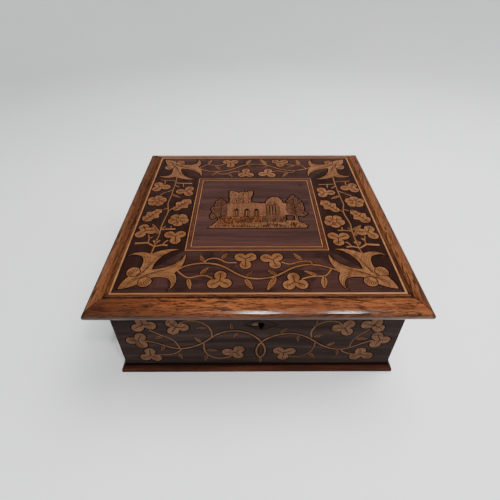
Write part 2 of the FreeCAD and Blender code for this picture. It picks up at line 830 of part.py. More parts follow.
for side in side_turns:
    ground = windowed(trapezoid(side, field_half, frame_half), border_inlays)
    sheet_piece(f"lid_border_{side}", ground, lid_seat)
rings = {
    "lid_outer_string": (panel_half, field_half),
    "lid_frame_string": (frame_half, band_half),
    "lid_frame_band": (band_half, inner_string_half),
    "lid_inner_string": (inner_string_half, centre_half),
}
for label, (outer, inner) in rings.items():
    sheet_piece(label, [trapezoid(side, outer, inner) for side in side_turns], lid_seat)
sheet_piece("lid_centre_veneer", windowed(square(centre_half), [abbey]), lid_seat)
sheet_piece("lid_vignette_inlay", [abbey], lid_seat)
sheet_piece("lid_shamrock_inlay", lid_shamrocks, lid_seat)
sheet_piece("lid_rose_inlay", lid_roses, lid_seat)
sheet_piece("lid_oak_leaf_inlay", lid_oak_leaves, lid_seat)
sheet_piece("lid_frond_inlay", lid_fronds, lid_seat)
sheet_piece("lid_vine_inlay", lid_vines, lid_seat)

# Front veneer with its shamrocks and the pierced lozenge round the keyhole
lozenge_x = S.lozenge_half_width.value
lozenge_z = S.lozenge_half_height.value
lozenge_middle = Vector(key_x.value, key_z.value, 0)
lozenge_spots = ((-lozenge_x, 0), (0, -lozenge_z), (lozenge_x, 0), (0, lozenge_z))
lozenge_tips = [Vector(x, z, 0) for x, z in lozenge_spots]
lozenge = polygon([lozenge_middle + tip for tip in lozenge_tips])
eye = Part.Face(Part.Wire(Part.makeCircle(S.key_radius.value, lozenge_middle)))
slot_corner = lozenge_middle - Vector(S.key_slot.value / 2, S.key_slot_drop.value, 0)
slot = Part.makePlane(S.key_slot.value, S.key_slot_drop.value, slot_corner)
pierced = lozenge.cut([eye, slot]).Faces
low_edge, high_edge = (level.value for level in veneer_span_z)
front_spots = ((-1, low_edge), (1, low_edge), (1, high_edge), (-1, high_edge))
front_corners = [Vector(x_way * case_half.value, level, 0) for x_way, level in front_spots]
front_ground = windowed(polygon(front_corners), front_shamrocks + front_vines + [lozenge])
sheet_piece("front_veneer", front_ground, front_seat)
sheet_piece("front_shamrock_inlay", front_shamrocks, front_seat)
sheet_piece("front_vine_inlay", front_vines, front_seat)
sheet_piece("escutcheon", pierced, front_seat)

doc.recompute()

for feature in doc.Objects:
    if {"Invalid", "Error"} & set(feature.State):
        raise RuntimeError(f"{feature.Label} failed: {feature.State}")
for feature in pieces:
    if feature.Shape.isNull() or not feature.Shape.isValid():
        raise RuntimeError(f"{feature.Label} has no valid shape")

os.makedirs("parts", exist_ok=True)
for feature in pieces:
    feature.Shape.exportStep(os.path.join("parts", f"{feature.Label}.step"))
print(len(pieces), "pieces written")
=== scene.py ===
import math
import random

import bpy
from mathutils import Matrix, Vector, geometry


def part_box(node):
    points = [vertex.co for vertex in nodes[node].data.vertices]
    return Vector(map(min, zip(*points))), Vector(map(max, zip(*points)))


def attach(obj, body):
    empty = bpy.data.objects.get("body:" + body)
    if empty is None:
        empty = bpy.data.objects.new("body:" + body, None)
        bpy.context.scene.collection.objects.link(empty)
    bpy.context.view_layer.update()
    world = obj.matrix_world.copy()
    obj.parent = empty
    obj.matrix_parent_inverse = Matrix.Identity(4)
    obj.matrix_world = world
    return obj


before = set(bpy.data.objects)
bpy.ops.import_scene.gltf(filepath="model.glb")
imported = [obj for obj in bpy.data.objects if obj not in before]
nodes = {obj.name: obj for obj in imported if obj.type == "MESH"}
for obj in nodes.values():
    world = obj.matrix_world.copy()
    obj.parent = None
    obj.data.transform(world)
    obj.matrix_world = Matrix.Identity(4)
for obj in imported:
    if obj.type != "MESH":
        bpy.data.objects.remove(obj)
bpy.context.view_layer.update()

scene = bpy.context.scene
rng = random.Random(7)
MM = 0.001

LID_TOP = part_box("lid_centre_veneer")[1].z
FRONT_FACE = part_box("front_veneer")[0].y

# Places that the textures follow, in metres: distances from the middle of the box, and heights
MOULDING_FLAT = 0.1230
MOULDING_QUIRK = 0.1252
# NOSE_START, NOSE_END and EDGE_TOP, EDGE_FOOT bound the painted shade on the lower edge of the moulding nose
NOSE_START, NOSE_END = 0.1340, 0.1380
TIP_START, TIP_END = 0.1360, 0.1385
EDGE_TOP, EDGE_FOOT = 0.0980, 0.0920
PLINTH_CORNER = 0.1260
# BACK_CORNER: the painted shade on the front moulding grows with distance from this corner
BACK_CORNER = (0.14, 0.14, 0.096)
FRONT_ZONE = -0.11
KNOTS = (((0.0552, 0.0130, 0.1018), 0.0030), ((0.0530, 0.0515, 0.1018), 0.0022))
KEYHOLE_SQUEEZE = (1.0, 0.0, 0.7)
KEYHOLE = (0.0033, 0.0, 0.0466)
SHELLAC = (0.9, 0.72, 0.6, 1.0)
BUMP_DEPTH = 0.0002


# Shader helpers
def lin(red, green, blue):
    """Linear colour of an 8-bit screen colour."""
    parts = [c / 255 for c in (red, green, blue)]
    return tuple(c / 12.92 if c <= 0.04045 else ((c + 0.055) / 1.055) ** 2.4 for c in parts) + (1.0,)


OLD_DIRT = lin(16, 7, 4)


class Shader:
    """A material with a short way to add and link nodes."""

    def __init__(self, name):
        self.material = bpy.data.materials.new(name)
        self.material.use_nodes = True
        self.tree = self.material.node_tree
        self.surface = self.tree.nodes["Principled BSDF"]

    def feed(self, socket, value):
        if isinstance(value, bpy.types.NodeSocket):
            self.tree.links.new(value, socket)
        else:
            socket.default_value = value

    def add(self, kind, inputs, output=0, **settings):
        node = self.tree.nodes.new("ShaderNode" + kind)
        for key, value in settings.items():
            setattr(node, key, value)
        for key, value in inputs.items():
            self.feed(node.inputs[key], value)
        return node.outputs[output]

    def coords(self, kind):
        return self.add("TexCoord", {}, kind)

    def stretch(self, vector, axis, along, across):
        """Coordinates scaled so that noise runs in streaks along one axis."""
        scale = [across] * 3
        scale["XYZ".index(axis)] = along
        return self.add("Mapping", {"Vector": vector, "Scale": scale})

    def noise(self, vector, scale=1.0, detail=4.0, rough=0.6, twist=0.0):
        settings = {"Vector": vector, "Scale": scale, "Detail": detail, "Roughness": rough, "Distortion": twist}
        return self.add("TexNoise", settings)

    def maths(self, operation, *values):
        return self.add("Math", dict(enumerate(values)), operation=operation)

    def ramp(self, value, *stops):
        node = self.tree.nodes.new("ShaderNodeValToRGB")
        marks = node.color_ramp.elements
        while len(marks) < len(stops):
            marks.new(0.5)
        for mark, (place, colour) in zip(marks, stops):
            mark.position = place
            mark.color = colour if isinstance(colour, tuple) else (colour, colour, colour, 1.0)
        self.feed(node.inputs[0], value)
        return node.outputs[0]

    def mix(self, share, first, second, blend="MIX"):
        node = self.tree.nodes.new("ShaderNodeMix")
        node.data_type = "RGBA"
        node.blend_type = blend
        self.feed(node.inputs[0], share)
        self.feed(node.inputs[6], first)
        self.feed(node.inputs[7], second)
        return node.outputs[2]

    def finish(self, colour, rough, height=None, strength=0.1, **sockets):
        self.feed(self.surface.inputs["Base Color"], colour)
        self.feed(self.surface.inputs["Roughness"], rough)
        for key, value in sockets.items():
            self.surface.inputs[key.replace("_", " ")].default_value = value
        if height is not None:
            bump = self.add("Bump", {"Height": height, "Strength": strength, "Distance": BUMP_DEPTH})
            self.feed(self.surface.inputs["Normal"], bump)
            self.feed(self.surface.inputs["Coat Normal"], bump)
        return self.material


def wood(name, dark, mid, light, axis="X", drawn=False, streak=150, gloss=0.42, polish=0.0, shine=0.2, detail=None):
    """Polished wood: long streaks, a broad figure, fine pores and an uneven shine."""
    sh = Shader(name)
    place = sh.add("UVMap", {}, uv_map="grain") if drawn else sh.coords("Object")
    streaks = sh.noise(sh.stretch(place, axis, streak / 22, streak), detail=8, rough=0.65, twist=0.6)
    broad = sh.noise(sh.stretch(place, axis, streak / 45, streak / 7), detail=3, rough=0.5)
    pores = sh.noise(sh.stretch(place, axis, 110, 2600), detail=3, rough=0.6)
    tone = sh.maths("ADD", sh.maths("MULTIPLY", streaks, 0.68), sh.maths("MULTIPLY", broad, 0.32))
    colour = sh.ramp(tone, (0.33, lin(*dark)), (0.5, lin(*mid)), (0.67, lin(*light)))
    colour = sh.mix(0.55, colour, sh.ramp(pores, (0.36, 0.5), (0.52, 1.0)), "MULTIPLY")
    if detail:
        colour = detail(sh, place, colour)
    wear = sh.noise(place, 55, 5, 0.6)
    rough = sh.ramp(wear, (0.3, gloss - 0.04), (0.7, gloss + 0.06))
    height = sh.maths("ADD", sh.maths("MULTIPLY", streaks, 0.5), pores)
    return sh.finish(colour, rough, height, 0.09, Coat_Weight=polish, Coat_Roughness=0.1, Specular_IOR_Level=shine,
                     Specular_Tint=SHELLAC)


def outward(sh, place):
    """The two level distances from the middle of the box, the height and the signed depth, in metres."""
    axes = sh.tree.nodes.new("ShaderNodeSeparateXYZ")
    sh.feed(axes.inputs[0], place)
    sides = [sh.maths("ABSOLUTE", axes.outputs[index]) for index in (0, 1)]
    return (*sides, axes.outputs[2], axes.outputs[1])


def fade(sh, value, full, none):
    """One at a first value and beyond, nought at a second, for steps too fine for a colour ramp."""
    return sh.add("Clamp", {"Value": sh.maths("DIVIDE", sh.maths("SUBTRACT", value, none), full - none)})


def band(sh, value, centre, half, soft):
    """One inside a band of values, falling to nought at its edges."""
    away = sh.maths("ABSOLUTE", sh.maths("SUBTRACT", value, centre))
    return fade(sh, away, half, half + soft)


def moulding_figure(axis):
    """Figure of the mouldings: wavy streaks, clustered pores, dirt in the quirk, a dark mitre and tip, painted shade
    at the left end of the front moulding and painted shade with dirt on the lower edge.
    """

    def drawn(sh, place, colour):
        slanted = sh.add("Mapping", {"Vector": place, "Rotation": (0.0, 0.12, 0.12)})
        streaks = sh.noise(sh.stretch(slanted, axis, 22, 260), detail=8, rough=0.66, twist=2.2)
        streaks = sh.ramp(streaks, (0.51, 0.0), (0.58, 1.0))
        patches = sh.ramp(sh.noise(sh.stretch(place, axis, 16, 60), detail=2), (0.36, 0.0), (0.50, 1.0))
        colour = sh.mix(sh.maths("MULTIPLY", sh.maths("MULTIPLY", streaks, patches), 0.85), colour, lin(24, 9, 5))
        flecks = sh.ramp(sh.noise(sh.stretch(place, axis, 130, 1300), detail=2), (0.56, 0.0), (0.62, 1.0))
        colour = sh.mix(sh.maths("MULTIPLY", flecks, 0.75), colour, lin(28, 11, 6))
        # Painted shade: the front moulding grows darker towards its left end, away from the back right corner, as the
        # light falls off.
        if axis == "X":
            end = sh.add("VectorMath", {0: place, 1: BACK_CORNER}, 1, operation="DISTANCE")
            end = sh.maths("ADD", end, sh.maths("MULTIPLY", sh.noise(sh.stretch(place, axis, 14, 90)), 0.05))
            painted_shade = sh.maths("MULTIPLY", sh.ramp(end, (0.34, 0.0), (0.42, 1.0)), 0.62)
            colour = sh.mix(painted_shade, colour, lin(30, 12, 7))
        across, along, height = outward(sh, place)[:3]
        reach = sh.maths("MAXIMUM", across, along)
        specks = sh.ramp(sh.noise(place, 420, 3, 0.7), (0.45, 0.0), (0.6, 1.0))
        flat = band(sh, reach, MOULDING_FLAT, 0.0018, 0.0008)
        colour = sh.mix(sh.maths("MULTIPLY", flat, 0.45), colour, lin(46, 25, 16))
        quirk = band(sh, reach, MOULDING_QUIRK, 0.0005, 0.0006)
        dirt = sh.maths("MULTIPLY", quirk, sh.maths("ADD", 0.35, sh.maths("MULTIPLY", specks, 0.5)))
        colour = sh.mix(dirt, colour, OLD_DIRT)
        mitre = band(sh, sh.maths("SUBTRACT", across, along), 0.0, 0.0002, 0.0005)
        colour = sh.mix(sh.maths("MULTIPLY", mitre, 0.85), colour, OLD_DIRT)
        tip = fade(sh, sh.maths("MINIMUM", across, along), TIP_END, TIP_START)
        colour = sh.mix(sh.maths("MULTIPLY", tip, 0.8), colour, OLD_DIRT)
        # Painted shade with old dirt: darker towards the foot of the nose, on its lower edge.
        low = sh.maths("MULTIPLY", fade(sh, height, EDGE_FOOT, EDGE_TOP), fade(sh, reach, NOSE_END, NOSE_START))
        return sh.mix(sh.maths("MULTIPLY", low, 0.8), colour, lin(26, 11, 4))

    return drawn


def plinth_dirt_and_shade(sh, place, colour):
    """Dark dirt and painted shade in the corner where the plinth meets the case."""
    across, along = outward(sh, place)[:2]
    corner = band(sh, sh.maths("MAXIMUM", across, along), PLINTH_CORNER, 0.0016, 0.0009)
    return sh.mix(sh.maths("MULTIPLY", corner, 0.95), colour, lin(12, 6, 4))


def centre_knots(sh, place, colour):
    """Two small dark knots in the centre panel."""
    for spot, size in KNOTS:
        away = sh.add("VectorMath", {0: place, 1: spot}, 1, operation="DISTANCE")
        away = sh.maths("ADD", away, sh.maths("MULTIPLY", sh.noise(place, 300), 0.0016))
        dark = fade(sh, away, size, size * 2.1)
        colour = sh.mix(sh.maths("MULTIPLY", dark, 0.75), colour, lin(24, 18, 18))
    return colour


def stippled(scale, depth):
    """Fine engraved stipple all over a let-in piece."""

    def drawn(sh, place, colour):
        spots = sh.add("TexVoronoi", {"Vector": place, "Scale": scale, "Randomness": 0.9})
        patches = sh.ramp(sh.noise(place, scale / 5, 3), (0.35, 0.45), (0.6, 1.0))
        marks = sh.maths("MULTIPLY", sh.ramp(spots, (0.22, 1.0), (0.52, 0.0)), patches)
        return sh.mix(sh.maths("MULTIPLY", marks, depth), colour, lin(34, 18, 10))

    return drawn


def stained(sh, place, colour):
    """Old dark stains in the ground veneers."""
    patches = sh.ramp(sh.noise(place, 42, 4, 0.62, 0.5), (0.50, 0.0), (0.64, 1.0))
    return sh.mix(sh.maths("MULTIPLY", patches, 0.62), colour, lin(20, 12, 11))


def keyhole_shade_and_dirt(near, far):
    """Painted shade and dirt round the tall keyhole, black up to one squeezed distance from its axis and gone at
    another.
    """

    def drawn(sh, place, colour):
        level = sh.add("VectorMath", {0: place, 1: KEYHOLE_SQUEEZE}, operation="MULTIPLY")
        away = sh.add("VectorMath", {0: level, 1: KEYHOLE}, 1, operation="DISTANCE")
        front = sh.maths("LESS_THAN", outward(sh, place)[3], FRONT_ZONE)
        return sh.mix(sh.maths("MULTIPLY", fade(sh, away, near, far), front), colour, lin(5, 3, 3))

    return drawn


def metal(name, dark, light, rough):
    """Old metal: tarnish in patches and fine scratches."""
    sh = Shader(name)
    place = sh.coords("Object")
    tarnish = sh.noise(place, 160, 6, 0.65)
    scratches = sh.noise(sh.stretch(place, "X", 40, 1800), detail=3)
    colour = sh.ramp(tarnish, (0.35, lin(*dark)), (0.62, lin(*light)))
    shine = sh.ramp(tarnish, (0.3, rough + 0.16), (0.7, rough))
    height = sh.maths("ADD", tarnish, scratches)
    return sh.finish(colour, shine, height, 0.12, Metallic=1.0)


def pigment(name, dark, light, scale, rough):
    """Dull dark colour with an uneven tone, for fillings, engraved lines and painted shade in recesses."""
    sh = Shader(name)
    tone = sh.noise(sh.coords("Object"), scale, 4, 0.6)
    colour = sh.ramp(tone, (0.35, lin(*dark)), (0.65, lin(*light)))
    return sh.finish(colour, sh.ramp(tone, (0.3, rough - 0.06), (0.7, rough + 0.08)), Specular_IOR_Level=0.0)


dull = {"gloss": 0.5, "shine": 0.08}
matt = {"gloss": 0.55, "shine": 0.03}
polished = {"gloss": 0.34, "polish": 0.35, "shine": 0.12}
waxed = {"gloss": 0.45, "polish": 0.0, "shine": 0.02}
satin = {"gloss": 0.34, "polish": 0.1, "shine": 0.03}
inlay_grain = {"drawn": True, "streak": 300}
picture_grain = {"drawn": True, "streak": 420}
MOULDING = ((64, 29, 16), (117, 66, 36), (152, 96, 57))
# Painted shade: the side mouldings are the same wood as the front and back ones, in darker tones.
SHADED_SIDE_MOULDING = ((53, 26, 16), (96, 57, 34), (124, 81, 51))
PLINTH = ((21, 8, 5), (52, 23, 12), (88, 46, 28))
CASE = ((25, 19, 18), (45, 35, 32), (64, 50, 46))
LID_INLAY = ((75, 43, 23), (104, 66, 39), (124, 86, 56))
LOZENGE = ((15, 10, 8), (28, 19, 16), (42, 29, 24))
FRONT_INLAY = ((66, 45, 33), (95, 68, 51), (113, 84, 63))
PINE = ((82, 50, 32), (118, 76, 48), (146, 100, 66))
woods = {
    "border_x": wood("border_ground_x", (24, 13, 11), (48, 29, 25), (67, 41, 36), "X", streak=120, detail=stained,
                     **dull),
    "side_y": wood("side_ground_y", (18, 8, 6), (33, 16, 12), (47, 25, 19), "Y", streak=120, **dull),
    "centre": wood("centre_ground_x", (37, 22, 20), (57, 36, 32), (73, 47, 41), "X", detail=centre_knots, **dull),
    "case_x": wood("case_ground_x", *CASE, "X", streak=120, **matt),
    "case_y": wood("case_ground_y", *CASE, "Y", streak=120, **matt),
    "moulding_x": wood("moulding_x", *MOULDING, "X", detail=moulding_figure("X"), **polished),
    "moulding_y": wood("moulding_y", *SHADED_SIDE_MOULDING, "Y", detail=moulding_figure("Y"), **waxed),
    "plinth_x": wood("plinth_x", *PLINTH, "X", detail=plinth_dirt_and_shade, **satin),
    "plinth_y": wood("plinth_y", *PLINTH, "Y", detail=plinth_dirt_and_shade, **satin),
    "carcase_x": wood("carcase_x", *PINE, "X", gloss=0.55, shine=0.25, detail=keyhole_shade_and_dirt(0.009, 0.012)),
    "carcase_y": wood("carcase_y", *PINE, "Y", gloss=0.55, shine=0.25),
    "string": wood("string_wood", (104, 66, 39), (130, 87, 55), (148, 105, 72), "X", streak=90),
    "band": wood("band_wood", (44, 20, 12), (62, 31, 19), (78, 42, 27), "X", streak=260),
    "inlay": wood("lid_inlay", *LID_INLAY, "X", detail=stippled(620, 0.4), **inlay_grain),
    "picture": wood("picture_inlay", (69, 41, 24), (99, 62, 40), (122, 81, 54), "Y", detail=stippled(480, 0.62),
                    **picture_grain),
    "ground_strip": wood("picture_ground", (52, 31, 19), (95, 61, 37), (132, 90, 56), "X", detail=stippled(420, 0.9),
                         **picture_grain),
    "bushes": wood("picture_bushes", (66, 34, 18), (98, 55, 30), (122, 74, 42), "Y", detail=stippled(460, 0.6),
                   **picture_grain),
    "foliage": wood("picture_foliage", (52, 29, 18), (74, 44, 28), (92, 58, 38), "Y", detail=stippled(480, 0.5),
                    **picture_grain),
    "front_inlay": wood("front_inlay", *FRONT_INLAY, "X", detail=stippled(620, 0.3), **inlay_grain, **matt),
    "under_lid": wood("lid_inlay_under", *LID_INLAY, "Y", streak=300),
    "under_front": wood("front_inlay_under", *FRONT_INLAY, "X", streak=300, **matt),
    "lozenge": wood("dark_lozenge", *LOZENGE, "X", detail=keyhole_shade_and_dirt(0.0031, 0.0039), **dull),
}
brass = metal("aged_brass", (96, 66, 30), (176, 134, 68), 0.3)
iron = metal("aged_iron", (50, 45, 42), (112, 104, 98), 0.4)
kerf = pigment("kerf_filling", (10, 6, 5), (20, 12, 9), 700, 0.55)
engraving = pigment("engraved_line", (20, 10, 6), (36, 19, 11), 900, 0.5)
front_engraving = pigment("front_engraved_line", (18, 11, 8), (32, 20, 15), 900, 0.5)
# Painted shade: flat dark colour that stands for the shadow in the countersinks and slots of the screws
recess_shade = pigment("painted_recess_shade", (8, 6, 5), (20, 15, 12), 500, 0.7)


def paint(material, *names):
    for name in names:
        slots = nodes[name].data.materials
        slots.clear()
        slots.append(material)


paint(woods["carcase_x"], "front_board", "back_board", "base_board", "lid_board")
paint(woods["carcase_y"], "left_board", "right_board")
paint(woods["plinth_x"], "plinth_front", "plinth_back")
paint(woods["plinth_y"], "plinth_left", "plinth_right")
paint(woods["case_x"], "front_veneer", "back_veneer")
paint(woods["case_y"], "left_veneer", "right_veneer")
paint(woods["moulding_x"], "lid_moulding_front", "lid_moulding_back")
paint(woods["moulding_y"], "lid_moulding_left", "lid_moulding_right")
paint(woods["border_x"], "lid_border_front", "lid_border_back")
paint(woods["side_y"], "lid_border_left", "lid_border_right")
paint(woods["centre"], "lid_centre_veneer")
paint(woods["string"], "lid_outer_string", "lid_frame_string", "lid_inner_string")
paint(woods["band"], "lid_frame_band")
lid_inlays = ["lid_shamrock_inlay", "lid_rose_inlay", "lid_oak_leaf_inlay", "lid_frond_inlay", "lid_vine_inlay"]
front_inlays = ["front_shamrock_inlay", "front_vine_inlay"]
paint(woods["under_lid"], "lid_vignette_inlay", *lid_inlays)
paint(woods["under_front"], *front_inlays)
paint(woods["lozenge"], "escutcheon")
hinge_leaves = [f"hinge_{side}_{body}_leaf" for side in ("left", "right") for body in ("case", "lid")]
paint(brass, "lock_strike", "lock_bolt", *hinge_leaves)
paint(iron, "lock_case", "hinge_left_pin", "hinge_right_pin")


# Flat drawing in millimetres on the faces of the box
LEVEL_STEP, LEVELS = 0.001, 32
GRAIN_SPAN = 900
MAP_MARGIN, MAP_SPAN = 0.01, 0.98
FILL_TURNS = (0.0, 0.37, 0.83, 1.31, 2.17)
FILL_TOLERANCE = 0.01
STEPS_PER_METRE, STEPS_PER_MM = 1e5, 100
SHOW_FACING = 0.9
MITRE_LIMIT = 0.6


def lid_at(u, v, lift):
    return (u * MM, v * MM, LID_TOP + lift * MM)


def front_at(u, v, lift):
    return (u * MM, FRONT_FACE - lift * MM, v * MM)


def level_at(height, way):
    """Face that looks up (+1) or down (-1) at a height in metres."""
    return lambda u, v, lift: (u * MM, v * MM, height + way * lift * MM)


def triangles(rings):
    """Triangles that fill an outline less its holes, tried at other turns where one leaves a part empty."""
    spots = [spot for ring in rings for spot in ring]
    whole = abs(area(rings[0])) - sum(abs(area(hole)) for hole in rings[1:])
    for turn in FILL_TURNS:
        spin = Matrix.Rotation(turn, 2)
        found = geometry.tessellate_polygon([[(spin @ spot).to_3d() for spot in ring] for ring in rings])
        filled = sum(abs(area([spots[index] for index in triangle])) for triangle in found)
        if abs(filled - whole) < FILL_TOLERANCE * whole:
            return found
    raise ValueError(f"outline at {spots[0]} can't be filled: {filled:.1f} of {whole:.1f}")


class Drawing:
    """Thin flat pieces laid on one face of the box, kept as one object."""

    def __init__(self, name, at, lift, material, body, slot):
        self.name, self.at, self.lift, self.material, self.body, self.slot = name, at, lift, material, body, slot
        self.points, self.faces, self.grain, self.pieces = [], [], [], 0

    def level(self):
        """Height of the next piece, a hair apart from the last ones so that none lie in one plane."""
        self.pieces += 1
        return self.lift + LEVEL_STEP * (self.pieces % LEVELS)

    def add(self, rings, turn=0.0):
        """One piece from its outline and holes, with the grain turned by degrees."""
        rings = [[Vector(spot) for spot in ring] for ring in rings]
        first = len(self.points)
        shift = (rng.uniform(0, GRAIN_SPAN), rng.uniform(0, GRAIN_SPAN))
        cosine, sine = math.cos(math.radians(turn)), math.sin(math.radians(turn))
        lift = self.level()
        for x, y in (spot for ring in rings for spot in ring):
            self.points.append(self.at(x, y, lift))
            self.grain.append(((x * cosine + y * sine + shift[0]) * MM, (y * cosine - x * sine + shift[1]) * MM))
        for triangle in triangles(rings):
            self.faces.append([first + index for index in triangle])

    def strip(self, sides):
        """A ribbon from the pairs of points on its two sides, with the grain along it."""
        first = len(self.points)
        lift = self.level()
        shift = rng.uniform(0, GRAIN_SPAN)
        for index, pair in enumerate(sides):
            for x, y in pair:
                self.points.append(self.at(x, y, lift))
            self.grain += [((index + shift) * MM, shift * MM), ((index + shift) * MM, (shift + 1.5) * MM)]
        for start in range(first, first + 2 * len(sides) - 2, 2):
            self.faces.append([start, start + 2, start + 3, start + 1])

    def lay_out(self, mesh):
        """Flat map of the whole drawing, filling the unit square."""
        spots = [(x, y + z) for x, y, z in self.points]
        low = [min(spot[axis] for spot in spots) for axis in (0, 1)]
        span = [max(spot[axis] for spot in spots) - low[axis] for axis in (0, 1)]
        layer = mesh.uv_layers.new(name="OFBake")
        for corner in mesh.loops:
            spot = spots[corner.vertex_index]
            layer.data[corner.index].uv = [MAP_MARGIN + MAP_SPAN * (spot[a] - low[a]) / span[a] for a in (0, 1)]

    def build(self):
        mesh = bpy.data.meshes.new(self.name)
        mesh.from_pydata(self.points, [], self.faces)
        layer = mesh.uv_layers.new(name="grain")
        for corner in mesh.loops:
            layer.data[corner.index].uv = self.grain[corner.vertex_index]
        self.lay_out(mesh)
        facing = Vector(self.at(0, 0, 1)) - Vector(self.at(0, 0, 0))
        for face in mesh.polygons:
            if face.normal.dot(facing) < 0:
                face.flip()
        mesh.materials.append(self.material)
        item = bpy.data.objects.new(self.name, mesh)
        scene.collection.objects.link(item)
        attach(item, self.body)


def curve(points, cuts=5):
    """Smooth open line through points."""
    spots = [Vector(spot) for spot in points]
    spots = [2 * spots[0] - spots[1]] + spots + [2 * spots[-1] - spots[-2]]
    line = []
    for a, b, c, d in zip(spots, spots[1:], spots[2:], spots[3:]):
        for cut in range(cuts):
            s = cut / cuts
            line.append(0.5 * (2 * b + (c - a) * s + (2 * a - 5 * b + 4 * c - d) * s * s
                               + (3 * b - a - 3 * c + d) * s ** 3))
    return line + [spots[-2]]


def rounded(ring, sharp=48, cuts=4):
    """Closed outline whose gentle corners are drawn smooth and whose sharp ones are kept."""
    spots = [Vector(spot) for spot in ring]
    count = len(spots)
    leans = []
    for index, spot in enumerate(spots):
        before = spot - spots[index - 1]
        after = spots[(index + 1) % count] - spot
        gentle = before.angle(after, 0.0) < math.radians(sharp)
        leans.append((before.normalized() + after.normalized()).normalized() if gentle else None)
    line = []
    for index, start in enumerate(spots):
        end = spots[(index + 1) % count]
        chord = end - start
        leave, arrive = leans[index], leans[(index + 1) % count]
        leave = leave * chord.length if leave else None
        arrive = arrive * chord.length if arrive else None
        if leave is None and arrive is None:
            leave = arrive = chord
        leave = 2 * chord - arrive if leave is None else leave
        arrive = 2 * chord - leave if arrive is None else arrive
        steps = 1 if leave == chord else cuts
        for cut in range(steps):
            s = cut / steps
            line.append(start * (2 * s ** 3 - 3 * s * s + 1) + leave * (s ** 3 - 2 * s * s + s)
                        + end * (3 * s * s - 2 * s ** 3) + arrive * (s ** 3 - s * s))
    return line


def ribbon(line, width, closed=False, start=1.0, end=1.0):
    """Pairs of points on the two sides of a line, the width scaled from start to end."""
    spots = [Vector(spot) for spot in line]
    count = len(spots)
    sides = []
    for index, spot in enumerate(spots):
        before = spot - spots[index - 1] if index or closed else spots[1] - spot
        after = spots[(index + 1) % count] - spot if index < count - 1 or closed else before
        heading = (before.normalized() + after.normalized()).normalized()
        lean = max(MITRE_LIMIT, heading.dot(after.normalized()))
        share = index / (count - 1)
        reach = width / 2 * (start + (end - start) * share) / lean
        across = Vector((-heading.y, heading.x)) * reach
        sides.append((spot - across, spot + across))
    return sides + sides[:1] if closed else sides


def leaf(base, tip, width, cuts=8):
    """Pointed leaf outline from its base to its tip."""
    base, tip = Vector(base), Vector(tip)
    axis = tip - base
    across = Vector((-axis.y, axis.x)).normalized() * width / 2
    shares = [cut / cuts for cut in range(1, cuts)]
    swell = [math.sin(math.pi * share ** 0.85) ** 0.8 for share in shares]
    right = [base + axis * share - across * size for share, size in zip(shares, swell)]
    left = [base + axis * share + across * size for share, size in zip(shares, swell)]
    return [base] + right + [tip] + left[::-1]


def show_loops(name, front):
    """Outlines of a node's show faces, in millimetres; outer ones run anticlockwise and holes clockwise."""
    mesh = nodes[name].data
    edges = set()
    for face in mesh.polygons:
        if (-face.normal.y if front else face.normal.z) < SHOW_FACING:
            continue
        ring = []
        for index in face.vertices:
            spot = mesh.vertices[index].co
            second = spot.z if front else spot.y
            ring.append((round(spot.x * STEPS_PER_METRE), round(second * STEPS_PER_METRE)))
        for pair in zip(ring, ring[1:] + ring[:1]):
            if pair[::-1] in edges:
                edges.remove(pair[::-1])
            else:
                edges.add(pair)
    onward = {}
    for start, end in sorted(edges):
        onward.setdefault(start, []).append(end)
    loops = []
    while onward:
        start = next(iter(onward))
        ring, spot = [], start
        while spot in onward:
            ring.append(spot)
            ends = onward[spot]
            after = ends.pop()
            if not ends:
                del onward[spot]
            spot = after
        loops.append([Vector((x / STEPS_PER_MM, y / STEPS_PER_MM)) for x, y in ring])
    return loops


def area(ring):
    return sum(a.x * b.y - a.y * b.x for a, b in zip(ring, ring[1:] + ring[:1])) / 2


def middle(ring):
    return sum(ring, Vector((0, 0))) / len(ring)


def circle(cuts):
    """Cosine and sine of even turns."""
    return [(math.cos(math.tau * cut / cuts), math.sin(math.tau * cut / cuts)) for cut in range(cuts)]


# Lifts of the dark joints, the let-in faces and the engraved lines, and widths of the joints, in millimetres
KERF, FACE, LINE = 0.006, 0.042, 0.085
KERF_WIDTH = 1.7
ABBEY_JOINT = 2.6
TUFT_JOINT = 2.3
STRING_JOINT = 0.5

# Engraving of the motifs: shares are of a lobe's or leaf's length
NOTCH = math.radians(40)
ROSE_EYE, EYE_CUTS = 2.4, 16
SIDE_VEINS = (0.42, 0.58, 0.72)
LEAF_VEINS = (0.18, 0.34, 0.5, 0.66)
DOT_ROWS = (0.3, 0.48, 0.66)

lid_kerf = Drawing("lid_kerf", lid_at, KERF, kerf, "lid", "side_ground")
lid_lines = Drawing("lid_engraving", lid_at, LINE, engraving, "lid", "lid_inlay")
front_kerf = Drawing("front_kerf", front_at, KERF, kerf, "carcase", "case_ground")
front_lines = Drawing("front_engraving", front_at, LINE, front_engraving, "carcase", "case_inlay")
lid_faces = Drawing("lid_inlay_faces", lid_at, FACE, woods["inlay"], "lid", "lid_inlay")
front_faces = Drawing("front_inlay_faces", front_at, FACE, woods["front_inlay"], "carcase", "case_inlay")
lid_sprays = Drawing("lid_sprays", lid_at, FACE, woods["inlay"], "lid", "lid_inlay")
front_sprays = Drawing("front_sprays", front_at, FACE, woods["front_inlay"], "carcase", "case_inlay")


def inlaid(faces, dark, rings, turn):
    """A let-in piece with a smooth outline and the dark line round it."""
    rings = [rounded(ring) for ring in rings]
    faces.add(rings, turn)
    for ring in rings:
        dark.strip(ribbon(ring, KERF_WIDTH, True))


